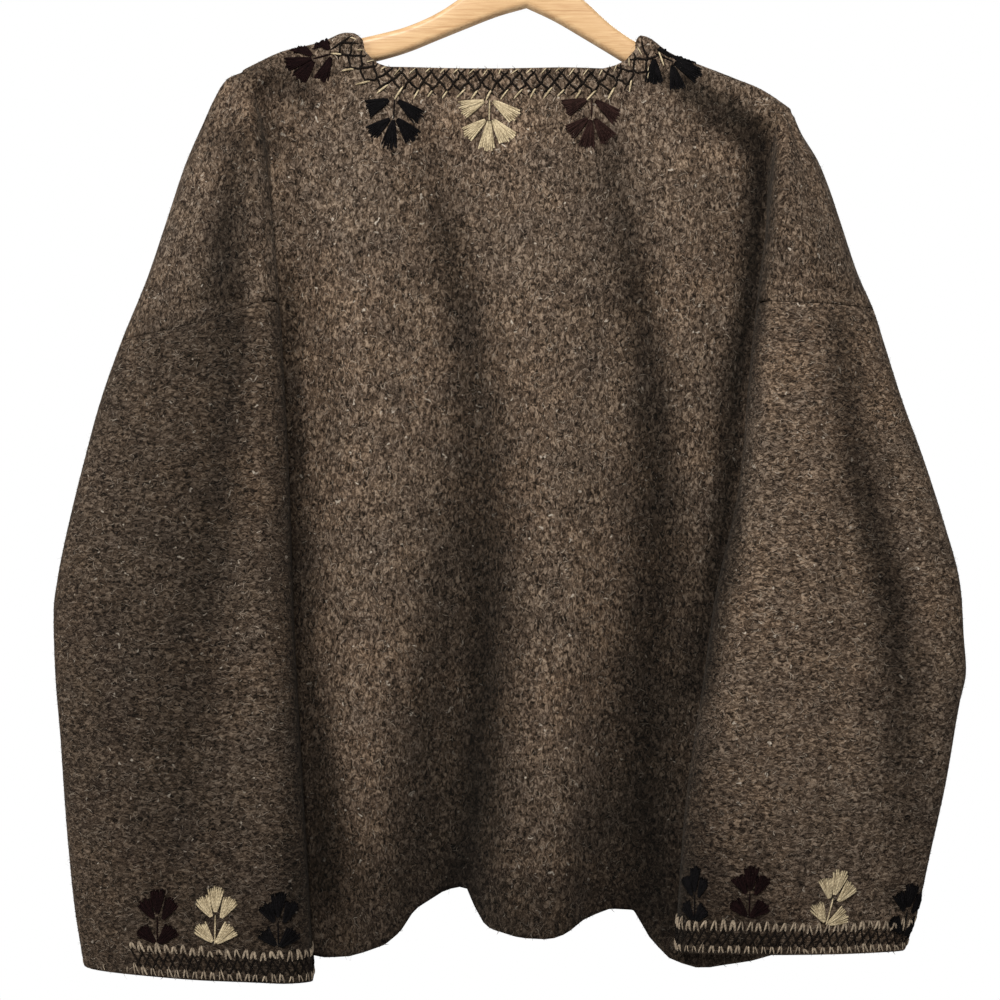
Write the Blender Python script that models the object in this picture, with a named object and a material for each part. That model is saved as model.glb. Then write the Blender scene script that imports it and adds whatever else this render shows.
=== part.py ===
"""Brown wool cardigan hanging on a wooden hanger, its back towards azimuth 0. Sizes in millimetres."""
import math

import bpy
import numpy as np

MM = 0.001

# Cloth and seams
WALL = 2.4
SEAM_GAP = 0.8
# x of the neck's corners on the shoulder line and just below the arms
NECK_LEFT = (-137.0, -129.0)
NECK_RIGHT = (78.5, 74.0)
MIDDLE_X = -30.5
# The band's corners stand up from the hanger beside the neck: x, height above the arm
COLLAR = ((-145.0, 3.6), (84.0, 5.0))
COLLAR_WIDE = 10.0

# Hanger, drawn level under the hook's inside top and then leaned
LEAN = math.radians(4.5)
ARM_THICK = 11.0
# distance from the middle, top height, underside height
ARM = (
    (0.0, -62.0, -91.5),
    (20.0, -65.0, -99.0),
    (45.0, -84.0, -111.0),
    (65.0, -99.5, -121.0),
    (85.0, -110.8, -131.0),
    (110.0, -120.0, -140.5),
    (135.0, -127.5, -147.5),
    (160.0, -135.0, -154.0),
    (182.0, -142.5, -160.5),
    (192.0, -148.5, -163.5),
    (196.5, -155.0, -161.5),
)
HOOK_WIRE = 3.5
HOOK_RADIUS = 20.0

# Back neckline: x, height. Its ends start below the arms.
BACK_NECK = (
    (-129.0, -123.5),
    (-123.5, -129.5),
    (-118.5, -134.0),
    (-111.0, -136.8),
    (-27.0, -138.0),
    (50.0, -138.0),
    (59.0, -135.5),
    (67.0, -131.5),
    (74.0, -123.5),
)
# Front neckline: distance from the middle of the neck, height
FRONT_NECK = (
    (5.0, -230.0),
    (30.0, -221.0),
    (60.0, -199.0),
    (80.0, -174.0),
    (92.0, -148.0),
    (98.5, -123.5),
)
# Hem of the back: x, height
BACK_HEM = (
    (-255.0, -791.0),
    (-200.0, -795.0),
    (-158.0, -800.0),
    (-136.0, -798.0),
    (-113.0, -790.5),
    (-102.0, -782.0),
    (-91.0, -766.0),
    (-68.0, -752.0),
    (-52.0, -748.5),
    (-46.0, -762.0),
    (-37.0, -777.0),
    (-12.0, -784.0),
    (10.0, -785.0),
    (22.0, -781.0),
    (33.0, -773.5),
    (55.0, -766.0),
    (73.0, -767.0),
    (86.0, -789.0),
    (101.0, -804.0),
    (123.0, -811.0),
    (160.0, -807.0),
    (215.0, -794.0),
)
# Hem of the fronts: distance from the middle, height
FRONT_HEM = (
    (5.0, -742.0),
    (60.0, -744.0),
    (110.0, -762.0),
    (160.0, -784.0),
    (235.0, -793.0),
)
# Folds of the back towards the camera, three heights each:
# x, left half width, right half width, steepness, height of the fold
FOLD_LEVELS = (-180.0, -450.0, -780.0)
BACK_FOLDS = (
    ((-125.0, 40.0, 42.0, 2.0, 7.0), (-127.0, 38.0, 44.0, 2.0, 15.0), (-138.0, 34.0, 40.0, 2.5, 20.0)),
    ((22.0, 40.0, 30.0, 2.0, 7.0), (4.0, 40.0, 46.0, 2.2, 18.0), (0.0, 44.0, 34.0, 4.0, 25.0)),
    ((112.0, 30.0, 32.0, 2.0, 8.0), (122.0, 24.0, 24.0, 2.0, 5.0), (112.0, 18.0, 24.0, 2.6, 5.0)),
)
# Folds of the fronts away from the camera, by distance from the middle
FRONT_FOLDS = (
    ((62.0, 22.0, 26.0, 2.0, 2.0), (58.0, 26.0, 30.0, 2.0, 7.0), (52.0, 28.0, 32.0, 2.0, 11.0)),
    ((128.0, 20.0, 20.0, 2.0, 1.0), (136.0, 26.0, 26.0, 2.0, 6.0), (140.0, 30.0, 30.0, 2.0, 9.0)),
)
# Depth of the flat cloth between folds: height, back panel, front panels
HANG = (
    (-110.0, -7.6, 7.6),
    (-180.0, -7.4, 10.0),
    (-260.0, -6.5, 16.0),
    (-350.0, -4.5, 22.0),
    (-500.0, -2.5, 26.0),
    (-800.0, -2.0, 27.0),
)

# Each side's named lines, as height and x: the sleeve's inner fold edge, its outer outline, the side seam
LEFT = {
    "fold": (
        (-138.0, -208.0), (-150.0, -213.0), (-165.0, -210.5), (-197.0, -204.0), (-250.0, -198.0),
        (-313.0, -192.5), (-387.0, -188.0), (-460.0, -184.0), (-562.0, -180.5), (-650.0, -175.5),
        (-752.0, -169.5), (-815.0, -166.0),
    ),
    "outer": (
        (-138.5, -219.0), (-142.0, -227.0), (-148.0, -233.5), (-158.0, -239.5), (-175.0, -247.0), (-205.0, -260.0),
        (-250.0, -275.0), (-295.0, -290.0), (-341.0, -308.5), (-386.0, -324.0), (-430.0, -335.5),
        (-475.0, -346.0), (-519.0, -354.5), (-541.0, -357.0), (-586.0, -355.5), (-630.0, -352.0),
        (-719.0, -345.5), (-763.0, -341.0), (-807.0, -334.0),
    ),
    "side": (
        (-395.0, -189.2), (-415.0, -189.8), (-440.0, -193.5), (-480.0, -203.0), (-560.0, -220.0),
        (-680.0, -238.0), (-800.0, -250.0),
    ),
    "top_x": -176.0,
    "inward": 1.0,
}
RIGHT = {
    "fold": (
        (-160.0, 178.0), (-172.0, 181.0), (-184.0, 180.5), (-208.0, 178.0), (-254.0, 172.5),
        (-314.0, 165.0), (-387.0, 158.0), (-460.0, 151.0), (-533.0, 134.5), (-606.0, 123.5),
        (-679.0, 112.5), (-774.0, 105.0), (-800.0, 103.0),
    ),
    "outer": (
        (-167.5, 190.0), (-171.0, 191.8), (-176.0, 193.5), (-184.0, 197.0), (-205.0, 209.5), (-227.0, 218.5),
        (-250.0, 226.0), (-295.0, 241.0), (-318.0, 251.0), (-342.0, 258.5), (-386.0, 272.0),
        (-430.0, 287.5), (-475.0, 301.5), (-519.0, 313.0), (-563.0, 316.0), (-586.0, 317.5),
        (-608.0, 313.0), (-674.0, 301.5), (-719.0, 291.5), (-763.0, 281.5), (-787.0, 273.5),
    ),
    "side": (
        (-387.0, 159.5), (-407.0, 160.0), (-430.0, 163.5), (-470.0, 168.0), (-560.0, 182.0),
        (-680.0, 198.0), (-800.0, 212.0),
    ),
    "top_x": 146.0,
    "inward": -1.0,
}

# Control columns round a sleeve, from the underarm over the near layer to the far layer:
# name, place along the row, share of the way from fold edge to outline, the same on the shoulder line,
# armhole seam height and cuff height on the left and on the right
NEAR = (
    ("underarm", 0.0, 0.00, 0.00, -395.0, -808.0, -387.0, -789.0),
    ("wall", 15.0, 0.00, 0.14, -357.0, -812.0, -351.0, -792.0),
    ("fold", 34.0, 0.00, 0.29, -313.0, -814.0, -314.0, -792.0),
    ("crest", 55.0, 0.13, 0.44, -316.0, -813.0, -315.0, -790.5),
    ("middle", 108.0, 0.56, 0.72, -331.0, -810.0, -316.0, -792.5),
    ("shoulder", 150.0, 0.93, 0.92, -341.0, -805.0, -318.0, -793.0),
    ("outline", 164.0, 1.00, 1.00, -342.0, -803.0, -319.0, -786.0),
)
FAR = (
    ("outline", 0.0, 1.00, 1.00, -342.0, -803.0, -319.0, -786.0),
    ("far_shoulder", 13.0, 0.93, 0.90, -343.0, -803.0, -320.0, -788.0),
    ("far_middle", 70.0, 0.55, 0.55, -372.0, -806.0, -352.0, -795.0),
    ("far_inner", 118.0, 0.16, 0.18, -389.0, -807.0, -380.0, -790.0),
    ("far_underarm", 140.0, 0.00, 0.00, -395.0, -808.0, -387.0, -789.0),
)
# Depth of those columns. Level 0 is where the cloth has come down over the arm, 1 the armhole seam,
# 2 the cuff. Levels from -1 to 0 go over the arm.
LEVELS = (0.0, 0.06, 0.14, 0.3, 0.6, 1.0, 1.05, 1.15, 1.35, 1.6, 2.0)
DEPTH_LEFT = {
    "underarm": (-7.5, -8.0, -8.5, -8.5, -6.5, -1.2, -7.0, -9.5, -10.0, -10.0, -10.0),
    "wall": (-7.5, -9.0, -11.0, -14.5, -16.5, -18.5, -19.5, -21.0, -22.0, -22.5, -21.0),
    "fold": (-7.5, -12.0, -17.0, -25.0, -31.0, -35.0, -36.0, -37.0, -39.0, -40.0, -37.0),
    "crest": (-7.5, -14.0, -20.0, -31.0, -41.0, -47.0, -49.0, -52.0, -57.0, -60.0, -53.0),
    "middle": (-7.5, -12.0, -16.0, -24.0, -33.0, -40.0, -42.0, -46.0, -54.0, -57.0, -50.0),
    "shoulder": (-6.5, -8.5, -9.5, -11.0, -14.0, -17.0, -18.0, -21.0, -28.0, -34.0, -31.0),
    "outline": (0.0, 0.0, 0.0, -1.0, -3.0, -5.0, -6.0, -9.0, -16.0, -22.0, -21.0),
    "far_shoulder": (6.5, 8.0, 9.0, 9.0, 8.0, 6.0, 4.0, 1.0, -5.0, -10.0, -11.0),
    "far_middle": (7.5, 10.0, 12.0, 14.0, 14.0, 10.0, 7.0, 1.0, -8.0, -10.0, -11.0),
    "far_inner": (7.5, 10.0, 12.0, 15.0, 14.0, 7.0, -1.0, -8.0, -10.0, -10.0, -10.0),
    "far_underarm": (7.5, 9.0, 11.0, 14.0, 11.0, 1.2, -7.0, -9.5, -10.0, -10.0, -10.0),
}
DEPTH_RIGHT = {
    "underarm": (-7.5, -8.0, -8.5, -8.5, -6.5, -1.2, -7.0, -9.5, -10.0, -10.0, -10.0),
    "wall": (-7.5, -8.8, -11.0, -15.5, -18.0, -18.0, -19.0, -21.0, -23.0, -23.0, -22.0),
    "fold": (-7.5, -10.0, -14.0, -27.0, -37.0, -39.0, -40.0, -41.0, -42.0, -42.0, -39.0),
    "crest": (-7.5, -11.5, -17.0, -33.0, -47.0, -53.0, -55.0, -58.0, -62.0, -64.0, -58.0),
    "middle": (-7.5, -11.0, -14.5, -24.0, -36.0, -44.0, -46.0, -49.0, -54.0, -56.0, -50.0),
    "shoulder": (-6.5, -8.5, -9.5, -11.0, -14.0, -17.0, -18.0, -21.0, -27.0, -31.0, -29.0),
    "outline": (0.0, 0.0, 0.0, -1.0, -3.0, -5.0, -6.0, -9.0, -15.0, -20.0, -20.0),
    "far_shoulder": (6.5, 8.0, 9.0, 9.0, 8.0, 6.0, 4.0, 1.0, -5.0, -10.0, -11.0),
    "far_middle": (7.5, 10.0, 12.0, 14.0, 14.0, 10.0, 7.0, 1.0, -8.0, -10.0, -11.0),
    "far_inner": (7.5, 10.0, 12.0, 15.0, 14.0, 7.0, -1.0, -8.0, -10.0, -10.0, -10.0),
    "far_underarm": (7.5, 9.0, 11.0, 14.0, 11.0, 1.2, -7.0, -9.5, -10.0, -10.0, -10.0),
}
# Side seam below the underarm: drop, depth of the seam, how far the panels have turned to meet edge to edge
SIDE_TURN = ((0.0, -0.1, 0.0), (20.0, 1.0, 8.0), (45.0, 5.0, 50.0), (80.0, 10.0, 85.0), (150.0, 13.0, 90.0),
             (420.0, 14.0, 90.0))
SIDE_ROUND = 9.0
SIDE_STRAIGHT = 1.5
EDGE_STEPS = (0.0, 3.0, 7.0, 11.0, 15.0)
ARM_ROUND = 7.5

# Grid steps
TOP_ROWS = (-1.0, -0.83, -0.58, -0.3, 0.0, 0.03, 0.07, 0.13, 0.21, 0.31, 0.44, 0.58, 0.73, 0.87, 1.0)
LOW_ROWS = (0.02, 0.05, 0.09, 0.14, 0.2, 0.28, 0.37, 0.46, 0.55, 0.64, 0.73, 0.82, 0.91, 1.0)
SLEEVE_ROWS = (1.0, 1.03, 1.07, 1.12, 1.18, 1.25, 1.32, 1.4, 1.48, 1.56, 1.64, 1.72, 1.8, 1.87, 1.94, 2.0)
NEAR_STEPS = (0.0, 8.0, 16.0, 25.0, 34.0, 44.0, 55.0, 72.0, 90.0, 108.0, 128.0, 144.0, 155.0, 160.5, 164.0)
FAR_STEPS = (0.0, 3.5, 9.0, 16.0, 32.0, 54.0, 78.0, 101.0, 122.0, 140.0)
BACK_COLUMNS = (4, 20, 7)
FRONT_COLUMNS = (9, 4)
SEAM_SLACK = 0.45


def table(rows, at, column=1):
    """A column of a table by its first column, straight between rows."""
    data = sorted(rows)
    return np.interp(at, [r[0] for r in data], [r[column] for r in data])


def curve(knots, values, at):
    """Smooth curve through the values at the knots, never beyond them."""
    k = np.asarray(knots, float)
    v = np.asarray(values, float)
    if v.ndim == 1:
        v = v[:, None]
    step = np.diff(k)[:, None]
    slope = np.diff(v, axis=0) / step
    tangent = np.empty_like(v)
    tangent[0] = slope[0]
    tangent[-1] = slope[-1]
    mean = (slope[:-1] * step[1:] + slope[1:] * step[:-1]) / (step[1:] + step[:-1])
    least = np.minimum(np.abs(slope[:-1]), np.abs(slope[1:]))
    same = slope[:-1] * slope[1:] > 0.0
    tangent[1:-1] = np.where(same, np.sign(mean) * np.minimum(np.abs(mean), 3.0 * least), 0.0)
    x = np.clip(np.atleast_1d(np.asarray(at, float)), k[0], k[-1])
    i = np.clip(np.searchsorted(k, x, side="right") - 1, 0, len(k) - 2)
    h = step[i]
    s = (x[:, None] - k[i][:, None]) / h
    a = 2 * s ** 3 - 3 * s ** 2 + 1
    b = s ** 3 - 2 * s ** 2 + s
    c = -2 * s ** 3 + 3 * s ** 2
    d = s ** 3 - s ** 2
    out = a * v[i] + b * h * tangent[i] + c * v[i + 1] + d * h * tangent[i + 1]
    return out[:, 0] if np.ndim(values[0]) == 0 else out


def line(rows, z):
    """x of a named line at a height."""
    data = sorted(rows)
    return curve([r[0] for r in data], [r[1] for r in data], z)


def ease(u):
    u = np.clip(u, 0.0, 1.0)
    return u * u * (3.0 - 2.0 * u)


def lean(x, z):
    """A point of the level hanger, leaned about the hook's inside top."""
    return x * math.cos(LEAN) + z * math.sin(LEAN), z * math.cos(LEAN) - x * math.sin(LEAN)


def shoulder_line():
    """The cloth's top line over the arms, as x and height."""
    above = 1.9
    xs = np.linspace(-ARM[-1][0], ARM[-1][0], 161)
    top = curve([a[0] for a in ARM], [a[1] for a in ARM], np.abs(xs)) + above
    px, pz = lean(xs, top)
    for x, high in COLLAR:
        pz = pz + high * np.exp(-((px - x) / COLLAR_WIDE) ** 2)
    lx, lz = LEFT["outer"][0][1], LEFT["outer"][0][0]
    rx, rz = RIGHT["outer"][0][1], RIGHT["outer"][0][0]
    keep = (px > lx + 20.0) & (px < rx - 14.5)
    return np.r_[lx, px[keep], rx], np.r_[lz, pz[keep], rz]


RIDGE_X, RIDGE_Z = shoulder_line()


def ridge(x):
    return np.interp(x, RIDGE_X, RIDGE_Z)


def over_arm(t):
    """Drop below the shoulder line and share of the full depth at a level."""
    angle = 0.5 * math.pi * min(1.0, 1.0 + t)
    return ARM_ROUND * (1.0 - math.cos(angle)), math.sin(angle)


def folds(rows, x, z):
    """Sum of the folds' heights at a point."""
    total = 0.0
    for fold in rows:
        at, left, right, steep, high = (curve(FOLD_LEVELS[::-1], [lev[c] for lev in fold[::-1]], np.ravel(z))
                                        .reshape(np.shape(z)) for c in range(5))
        width = np.where(x < at, left, right)
        total = total + high * np.exp(-(np.abs(x - at) / width) ** steep)
    return total


def back_depth(x, z):
    soft = ease((ridge(x) - z - 8.0) / 70.0)
    return table(HANG, z, 1) - soft * folds(BACK_FOLDS, x, z)


def front_depth(x, z):
    soft = ease((ridge(x) - z - 8.0) / 120.0)
    return table(HANG, z, 2) + soft * folds(FRONT_FOLDS, np.abs(x - MIDDLE_X), z)


def column_depth(name, values, t):
    """Depth of a control column; at the underarm the sleeve starts apart from the panels."""
    if "underarm" not in name:
        return float(curve(LEVELS, values, max(t, 0.0))[0])
    if t <= 1.0:
        return float(curve(LEVELS[:6], values[:6], max(t, 0.0))[0])
    return float(curve(LEVELS[5:], (-0.1,) + values[6:], t)[0])


def side_points(side, columns, t, sign):
    """Control points of one side at a level, near layer -1 or far layer 1: rows of x, y, z."""
    depth = DEPTH_LEFT if side is LEFT else DEPTH_RIGHT
    first = 4 if side is LEFT else 6
    apart = sign * SEAM_GAP / 2 if t <= 1.0 else 0.0
    corner = sign * 1.2 * (1.0 - float(ease(t / 0.08)))
    drop, share_y = over_arm(t)
    start, stop = side["top_x"], side["outer"][0][1]
    out = []
    for col in columns:
        name, share = col[0], col[2]
        seam, cuff = col[first], col[first + 1]
        top_x = start + (stop - start) * col[3]
        end = col[3] ** 3
        z = float(ridge(top_x)) - drop * (1.0 - end) - ARM_ROUND * (1.0 + min(t, 0.0)) * end
        if t > 1.0:
            z = seam + (cuff - seam) * (t - 1.0)
        elif t > 0.0:
            z += (seam - z) * t
        inner = float(line(side["fold"], z)[0])
        outer = float(line(side["outer"], z)[0])
        width = abs(outer - inner)
        x = inner + (outer - inner) * share
        if name == "crest" and width > 0.0:
            x = inner + (outer - inner) * max(share, min(0.3, 6.0 / width))
        if "shoulder" in name:
            x = outer + side["inward"] * min(3.5, 0.15 * width)
        open_out = side["inward"] * max(0.0, 1.0 - max(t, 0.0) / 0.5)
        if name == "wall":
            x += 4.0 * open_out
        if "underarm" in name:
            x = inner - side["inward"] * 1.5 + 12.0 * open_out
            if t > 1.0:
                x -= side["inward"] * (3.0 + 9.0 * min(1.0, (t - 1.0) / 0.1))
        x = top_x + (x - top_x) * float(ease((t + end) / (0.16 + end)))
        out.append((x, column_depth(name, depth[name], t) * share_y + apart + corner * col[3] ** 8, z))
    return np.array(out)


def near_row(side, t, steps):
    """The near layer of a side at a level, underarm to outline."""
    pts = side_points(side, NEAR, t, -1.0)
    ghost = side_points(side, FAR, t, 1.0)[1]
    knots = [c[1] for c in NEAR] + [NEAR[-1][1] + FAR[1][1]]
    row = curve(knots, np.vstack([pts, ghost]), steps)
    if t > 1.0:
        hidden = np.clip(1.0 - np.asarray(steps) / 46.0, 0.0, 1.0)
        row[:, 2] -= 6.0 * hidden * max(0.0, 1.0 - (t - 1.0) / 0.03)
    return row


def far_row(side, t, steps):
    """The far layer of a side at a level, outline to underarm."""
    pts = side_points(side, FAR, t, 1.0)
    ghost = side_points(side, NEAR, t, -1.0)[-2]
    knots = [-(NEAR[-1][1] - NEAR[-2][1])] + [c[1] for c in FAR]
    row = curve(knots, np.vstack([ghost, pts]), steps)
    if t > 1.0:
        hidden = np.clip((np.asarray(steps) - 100.0) / 40.0, 0.0, 1.0)
        row[:, 2] -= 6.0 * hidden * max(0.0, 1.0 - (t - 1.0) / 0.03)
    return row


def spread(points, count, ends):
    """Points at even steps along a finely drawn row, closer at its ends where asked."""
    d = np.linalg.norm(np.diff(points, axis=0), axis=1)
    s = np.linspace(0.0, 1.0, len(d))
    weight = 1.0 + ends[0] * np.exp(-(s / 0.08) ** 2) + ends[1] * np.exp(-((1.0 - s) / 0.08) ** 2)
    run = np.r_[0.0, np.cumsum(d * weight)]
    at = np.linspace(0.0, run[-1], count + 1)
    return np.stack([np.interp(at, run, points[:, k]) for k in range(3)], axis=1)


def lead(side, x, y, edge_x, edge_y, reach):
    """Leads a row's depth to a given depth at a side's edge."""
    w = ease(1.0 - np.maximum(0.0, (x - edge_x) * side["inward"]) / reach)
    return y + (edge_y - y) * w


def side_z(side, low):
    """Height of the side seam at a share of its length."""
    top = side["side"][0][0]
    hem = float(table(BACK_HEM, line(side["side"], -797.0)[0]))
    return top + (hem - top) * low


def side_end(side, z, sign):
    """The end of a panel at the side seam, from its edge inwards: x, depth, height."""
    drop = side["side"][0][0] - z
    x_side = float(line(side["side"], z)[0])
    y_seam = float(table(SIDE_TURN, drop, 1))
    turn = math.radians(float(table(SIDE_TURN, drop, 2)))
    y_edge = y_seam + sign * (SEAM_GAP / 2 + 0.5 * WALL * math.cos(turn))
    out = [(x_side, y_edge)]
    x = x_side + side["inward"] * SIDE_STRAIGHT * math.cos(turn)
    y = y_edge + sign * SIDE_STRAIGHT * math.sin(turn)
    for k in range(4):
        a = turn * (1.0 - k / 3.0)
        flat = (3.0 + 9.0 * k / 3.0) * (1.0 - turn / math.radians(90.0)) * (k > 0)
        px = x + side["inward"] * (SIDE_ROUND * (math.sin(turn) - math.sin(a)) + flat)
        py = y + sign * SIDE_ROUND * (math.cos(a) - math.cos(turn))
        out.append((px, py))
    return np.array([(px, py, z) for px, py in out])


def neck_x(mark, t):
    return mark[0] + (mark[1] - mark[0]) * float(ease(1.0 + min(t, 0.0)))


def top_height(x, t, neck):
    """Height of a column's start."""
    drop = over_arm(t)[0]
    return np.minimum(ridge(x) - ARM_ROUND, neck) if neck is not None else ridge(x) - drop


def body_run(x, x_top, t, low, z_under, hem, depth, share_y, sign, neck):
    """A run of a row: x, depth and height from the columns' starts, the armhole level and the hem."""
    if low is None:
        start = top_height(x_top, t, neck)
        z = start + (z_under - start) * max(t, 0.0)
    else:
        z = z_under + (hem(x) - z_under) * low
    y = depth(x, z) * share_y + sign * SEAM_GAP / 2
    return np.stack([x, y, z], axis=1)


def under_height(x):
    """Height of the armhole level across the body."""
    return np.interp(x, (LEFT["side"][0][1], RIGHT["side"][0][1]), (LEFT["side"][0][0], RIGHT["side"][0][0]))


def back_row(t, low):
    """One row of the back between its underarm columns; the neck's part is None over the arms."""
    fine = 150
    share_y = over_arm(t)[1]
    ends = []
    for side in (LEFT, RIGHT):
        if low is None:
            x0, y0, z0 = side_points(side, NEAR[:1], t, -1.0)[0]
            xs = x0 + side["inward"] * np.array(EDGE_STEPS)
            tops = side["top_x"] + side["inward"] * np.array(EDGE_STEPS)
            under = np.full(len(xs), side["side"][0][0])
            row = body_run(xs, tops, t, None, under, None, back_depth, share_y, -1.0, None)
            row[:, 1] = y0
            row[:, 2] = row[:, 2] + (z0 - row[0, 2]) * ease(1.0 - np.array(EDGE_STEPS) / 15.0)
        else:
            row = side_end(side, side_z(side, low), -1.0)
            y0 = row[-1, 1]
        ends.append((row, y0))
    (left_end, left_y), (right_end, right_y) = ends
    marks = (left_end[-1, 0], neck_x(NECK_LEFT, t), neck_x(NECK_RIGHT, t), right_end[-1, 0])
    tops = (LEFT["top_x"] + EDGE_STEPS[-1], marks[1] if t < 0 else NECK_LEFT[1],
            marks[2] if t < 0 else NECK_RIGHT[1], RIGHT["top_x"] - EDGE_STEPS[-1])
    shares = ((0, 0), (3, 3), (0, 0))
    runs = [left_end]
    for k in range(3):
        if k == 1 and t < 0.0:
            runs.append([None] * (BACK_COLUMNS[1] + 1))
            continue
        s = np.linspace(0.0, 1.0, fine)
        x = marks[k] + (marks[k + 1] - marks[k]) * s
        x_top = tops[k] + (tops[k + 1] - tops[k]) * s
        neck = table(BACK_NECK, x_top) if k == 1 else None
        under = under_height(x)
        row = body_run(x, x_top, t, low, under, lambda v: table(BACK_HEM, v), back_depth, share_y, -1.0, neck)
        if k == 0:
            row[:, 1] = lead(LEFT, x, row[:, 1], left_end[-1, 0], left_y, 45.0)
            row[:, 2] += (left_end[-1, 2] - row[0, 2]) * ease(1.0 - s)
        if k == 2:
            row[:, 1] = lead(RIGHT, x, row[:, 1], right_end[-1, 0], right_y, 45.0)
            row[:, 2] += (right_end[-1, 2] - row[-1, 2]) * ease(s)
        runs.append(spread(row, BACK_COLUMNS[k], shares[k]))
    runs.append(right_end[::-1])
    out = list(runs[0])
    for k, run in enumerate(runs[1:]):
        if k == 2 and t < 0.0:
            out[-1] = run[0]
        out += list(run)[1:]
    return out


def front_row(side, t, low):
    """One row of a front panel, from its open edge to the underarm column."""
    fine = 150
    share_y = over_arm(t)[1]
    outward = -side["inward"]
    neck_mark = neck_x(NECK_LEFT if side is LEFT else NECK_RIGHT, t)
    neck_top = neck_mark if t < 0 else (NECK_LEFT[1] if side is LEFT else NECK_RIGHT[1])
    if low is None:
        x0, y0, z0 = side_points(side, FAR[-1:], t, 1.0)[0]
        steps = np.array(EDGE_STEPS)
        xs = x0 + side["inward"] * steps
        under = np.full(len(xs), side["side"][0][0])
        end = body_run(xs, side["top_x"] + side["inward"] * steps, t, None, under, None, front_depth,
                       share_y, 1.0, None)
        end[:, 1] = y0
        end[:, 2] = end[:, 2] + (z0 - end[0, 2]) * ease(1.0 - steps / 15.0)
    else:
        end = side_end(side, side_z(side, low), 1.0)
        y0 = end[-1, 1]
    progress = max(t, 0.0) * 0.4 if low is None else 0.4 + low * 0.6
    edge = MIDDLE_X + outward * (5.0 + 10.0 * progress)
    marks = (edge, neck_mark, end[-1, 0])
    tops = (MIDDLE_X + outward * 5.0, neck_top, side["top_x"] + side["inward"] * EDGE_STEPS[-1])
    out = []
    for k in range(2):
        if k == 0 and t < 0.0:
            out += [None] * FRONT_COLUMNS[0]
            continue
        s = np.linspace(0.0, 1.0, fine)
        x = marks[k] + (marks[k + 1] - marks[k]) * s
        x_top = tops[k] + (tops[k + 1] - tops[k]) * s
        neck = table(FRONT_NECK, np.abs(x_top - MIDDLE_X)) if k == 0 else None
        under = under_height(x)
        row = body_run(x, x_top, t, low, under, lambda v: table(FRONT_HEM, np.abs(v - MIDDLE_X)), front_depth,
                       share_y, 1.0, neck)
        row[:, 1] = lead(side, x, row[:, 1], end[-1, 0], y0, 60.0)
        if k == 1:
            row[:, 2] += (end[-1, 2] - row[-1, 2]) * ease(s)
        part = list(spread(row, FRONT_COLUMNS[k], ((1, 2), (0, 0))[k]))
        out += part if not out or k == 0 or t < 0.0 else part[1:]
    return out + list(end[::-1][1:])


def grid_mesh(cells):
    """Vertices and faces of a list of rows, each a list of points or None, all of one length."""
    index = {}
    verts = []
    for r, row in enumerate(cells):
        for c, point in enumerate(row):
            if point is not None:
                index[r, c] = len(verts)
                verts.append([v * MM for v in point])
    faces = []
    for r in range(len(cells) - 1):
        for c in range(len(cells[0]) - 1):
            corners = [(r, c), (r, c + 1), (r + 1, c + 1), (r + 1, c)]
            if all(k in index for k in corners):
                faces.append([index[k] for k in corners])
    return verts, faces


def back_cells():
    """The back panel: shoulder parts on both sides down to the armholes, the body down to the hem."""
    cells = []
    for t in TOP_ROWS:
        t_in = t if t < 1.0 else 1.0 - SEAM_SLACK / 220.0
        left = near_row(LEFT, t_in, NEAR_STEPS)[::-1]
        right = near_row(RIGHT, t_in, NEAR_STEPS)
        cells.append(list(left[:-1]) + back_row(t, None) + list(right[1:]))
    blank = [None] * (len(NEAR_STEPS) - 1)
    for low in LOW_ROWS:
        cells.append(blank + back_row(1.0, low) + blank)
    return cells


def front_cells(side):
    """A front panel: its open edge first, the shoulder part last."""
    cells = []
    for t in TOP_ROWS:
        t_in = t if t < 1.0 else 1.0 - SEAM_SLACK / 220.0
        wing = far_row(side, t_in, FAR_STEPS)[::-1]
        cells.append(front_row(side, t, None) + list(wing[1:]))
    blank = [None] * (len(FAR_STEPS) - 1)
    for low in LOW_ROWS:
        cells.append(front_row(side, 1.0, low) + blank)
    return cells


def sleeve_cells(side):
    """A sleeve as a tube: near layer, far layer and back to the underarm."""
    cells = []
    for t in SLEEVE_ROWS:
        t_in = max(t, 1.0 + SEAM_SLACK / 430.0)
        near = near_row(side, t_in, NEAR_STEPS)
        far = far_row(side, t_in, FAR_STEPS)
        near[0] = far[-1] = 0.5 * (near[0] + far[-1])
        cells.append(list(near) + list(far[1:]))
    return cells


def material(name, colour, rough, metal=0.0):
    mat = bpy.data.materials.new(name)
    mat.use_nodes = True
    shader = mat.node_tree.nodes["Principled BSDF"]
    shader.inputs["Base Color"].default_value = (*colour, 1.0)
    shader.inputs["Roughness"].default_value = rough
    shader.inputs["Metallic"].default_value = metal
    mat.diffuse_color = (*colour, 1.0)
    return mat


def add(name, verts, faces, mat):
    mesh = bpy.data.meshes.new(name)
    mesh.from_pydata([tuple(v) for v in verts], [], faces)
    mesh.validate()
    obj = bpy.data.objects.new(name, mesh)
    bpy.context.scene.collection.objects.link(obj)
    mesh.materials.append(mat)
    return obj


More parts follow.
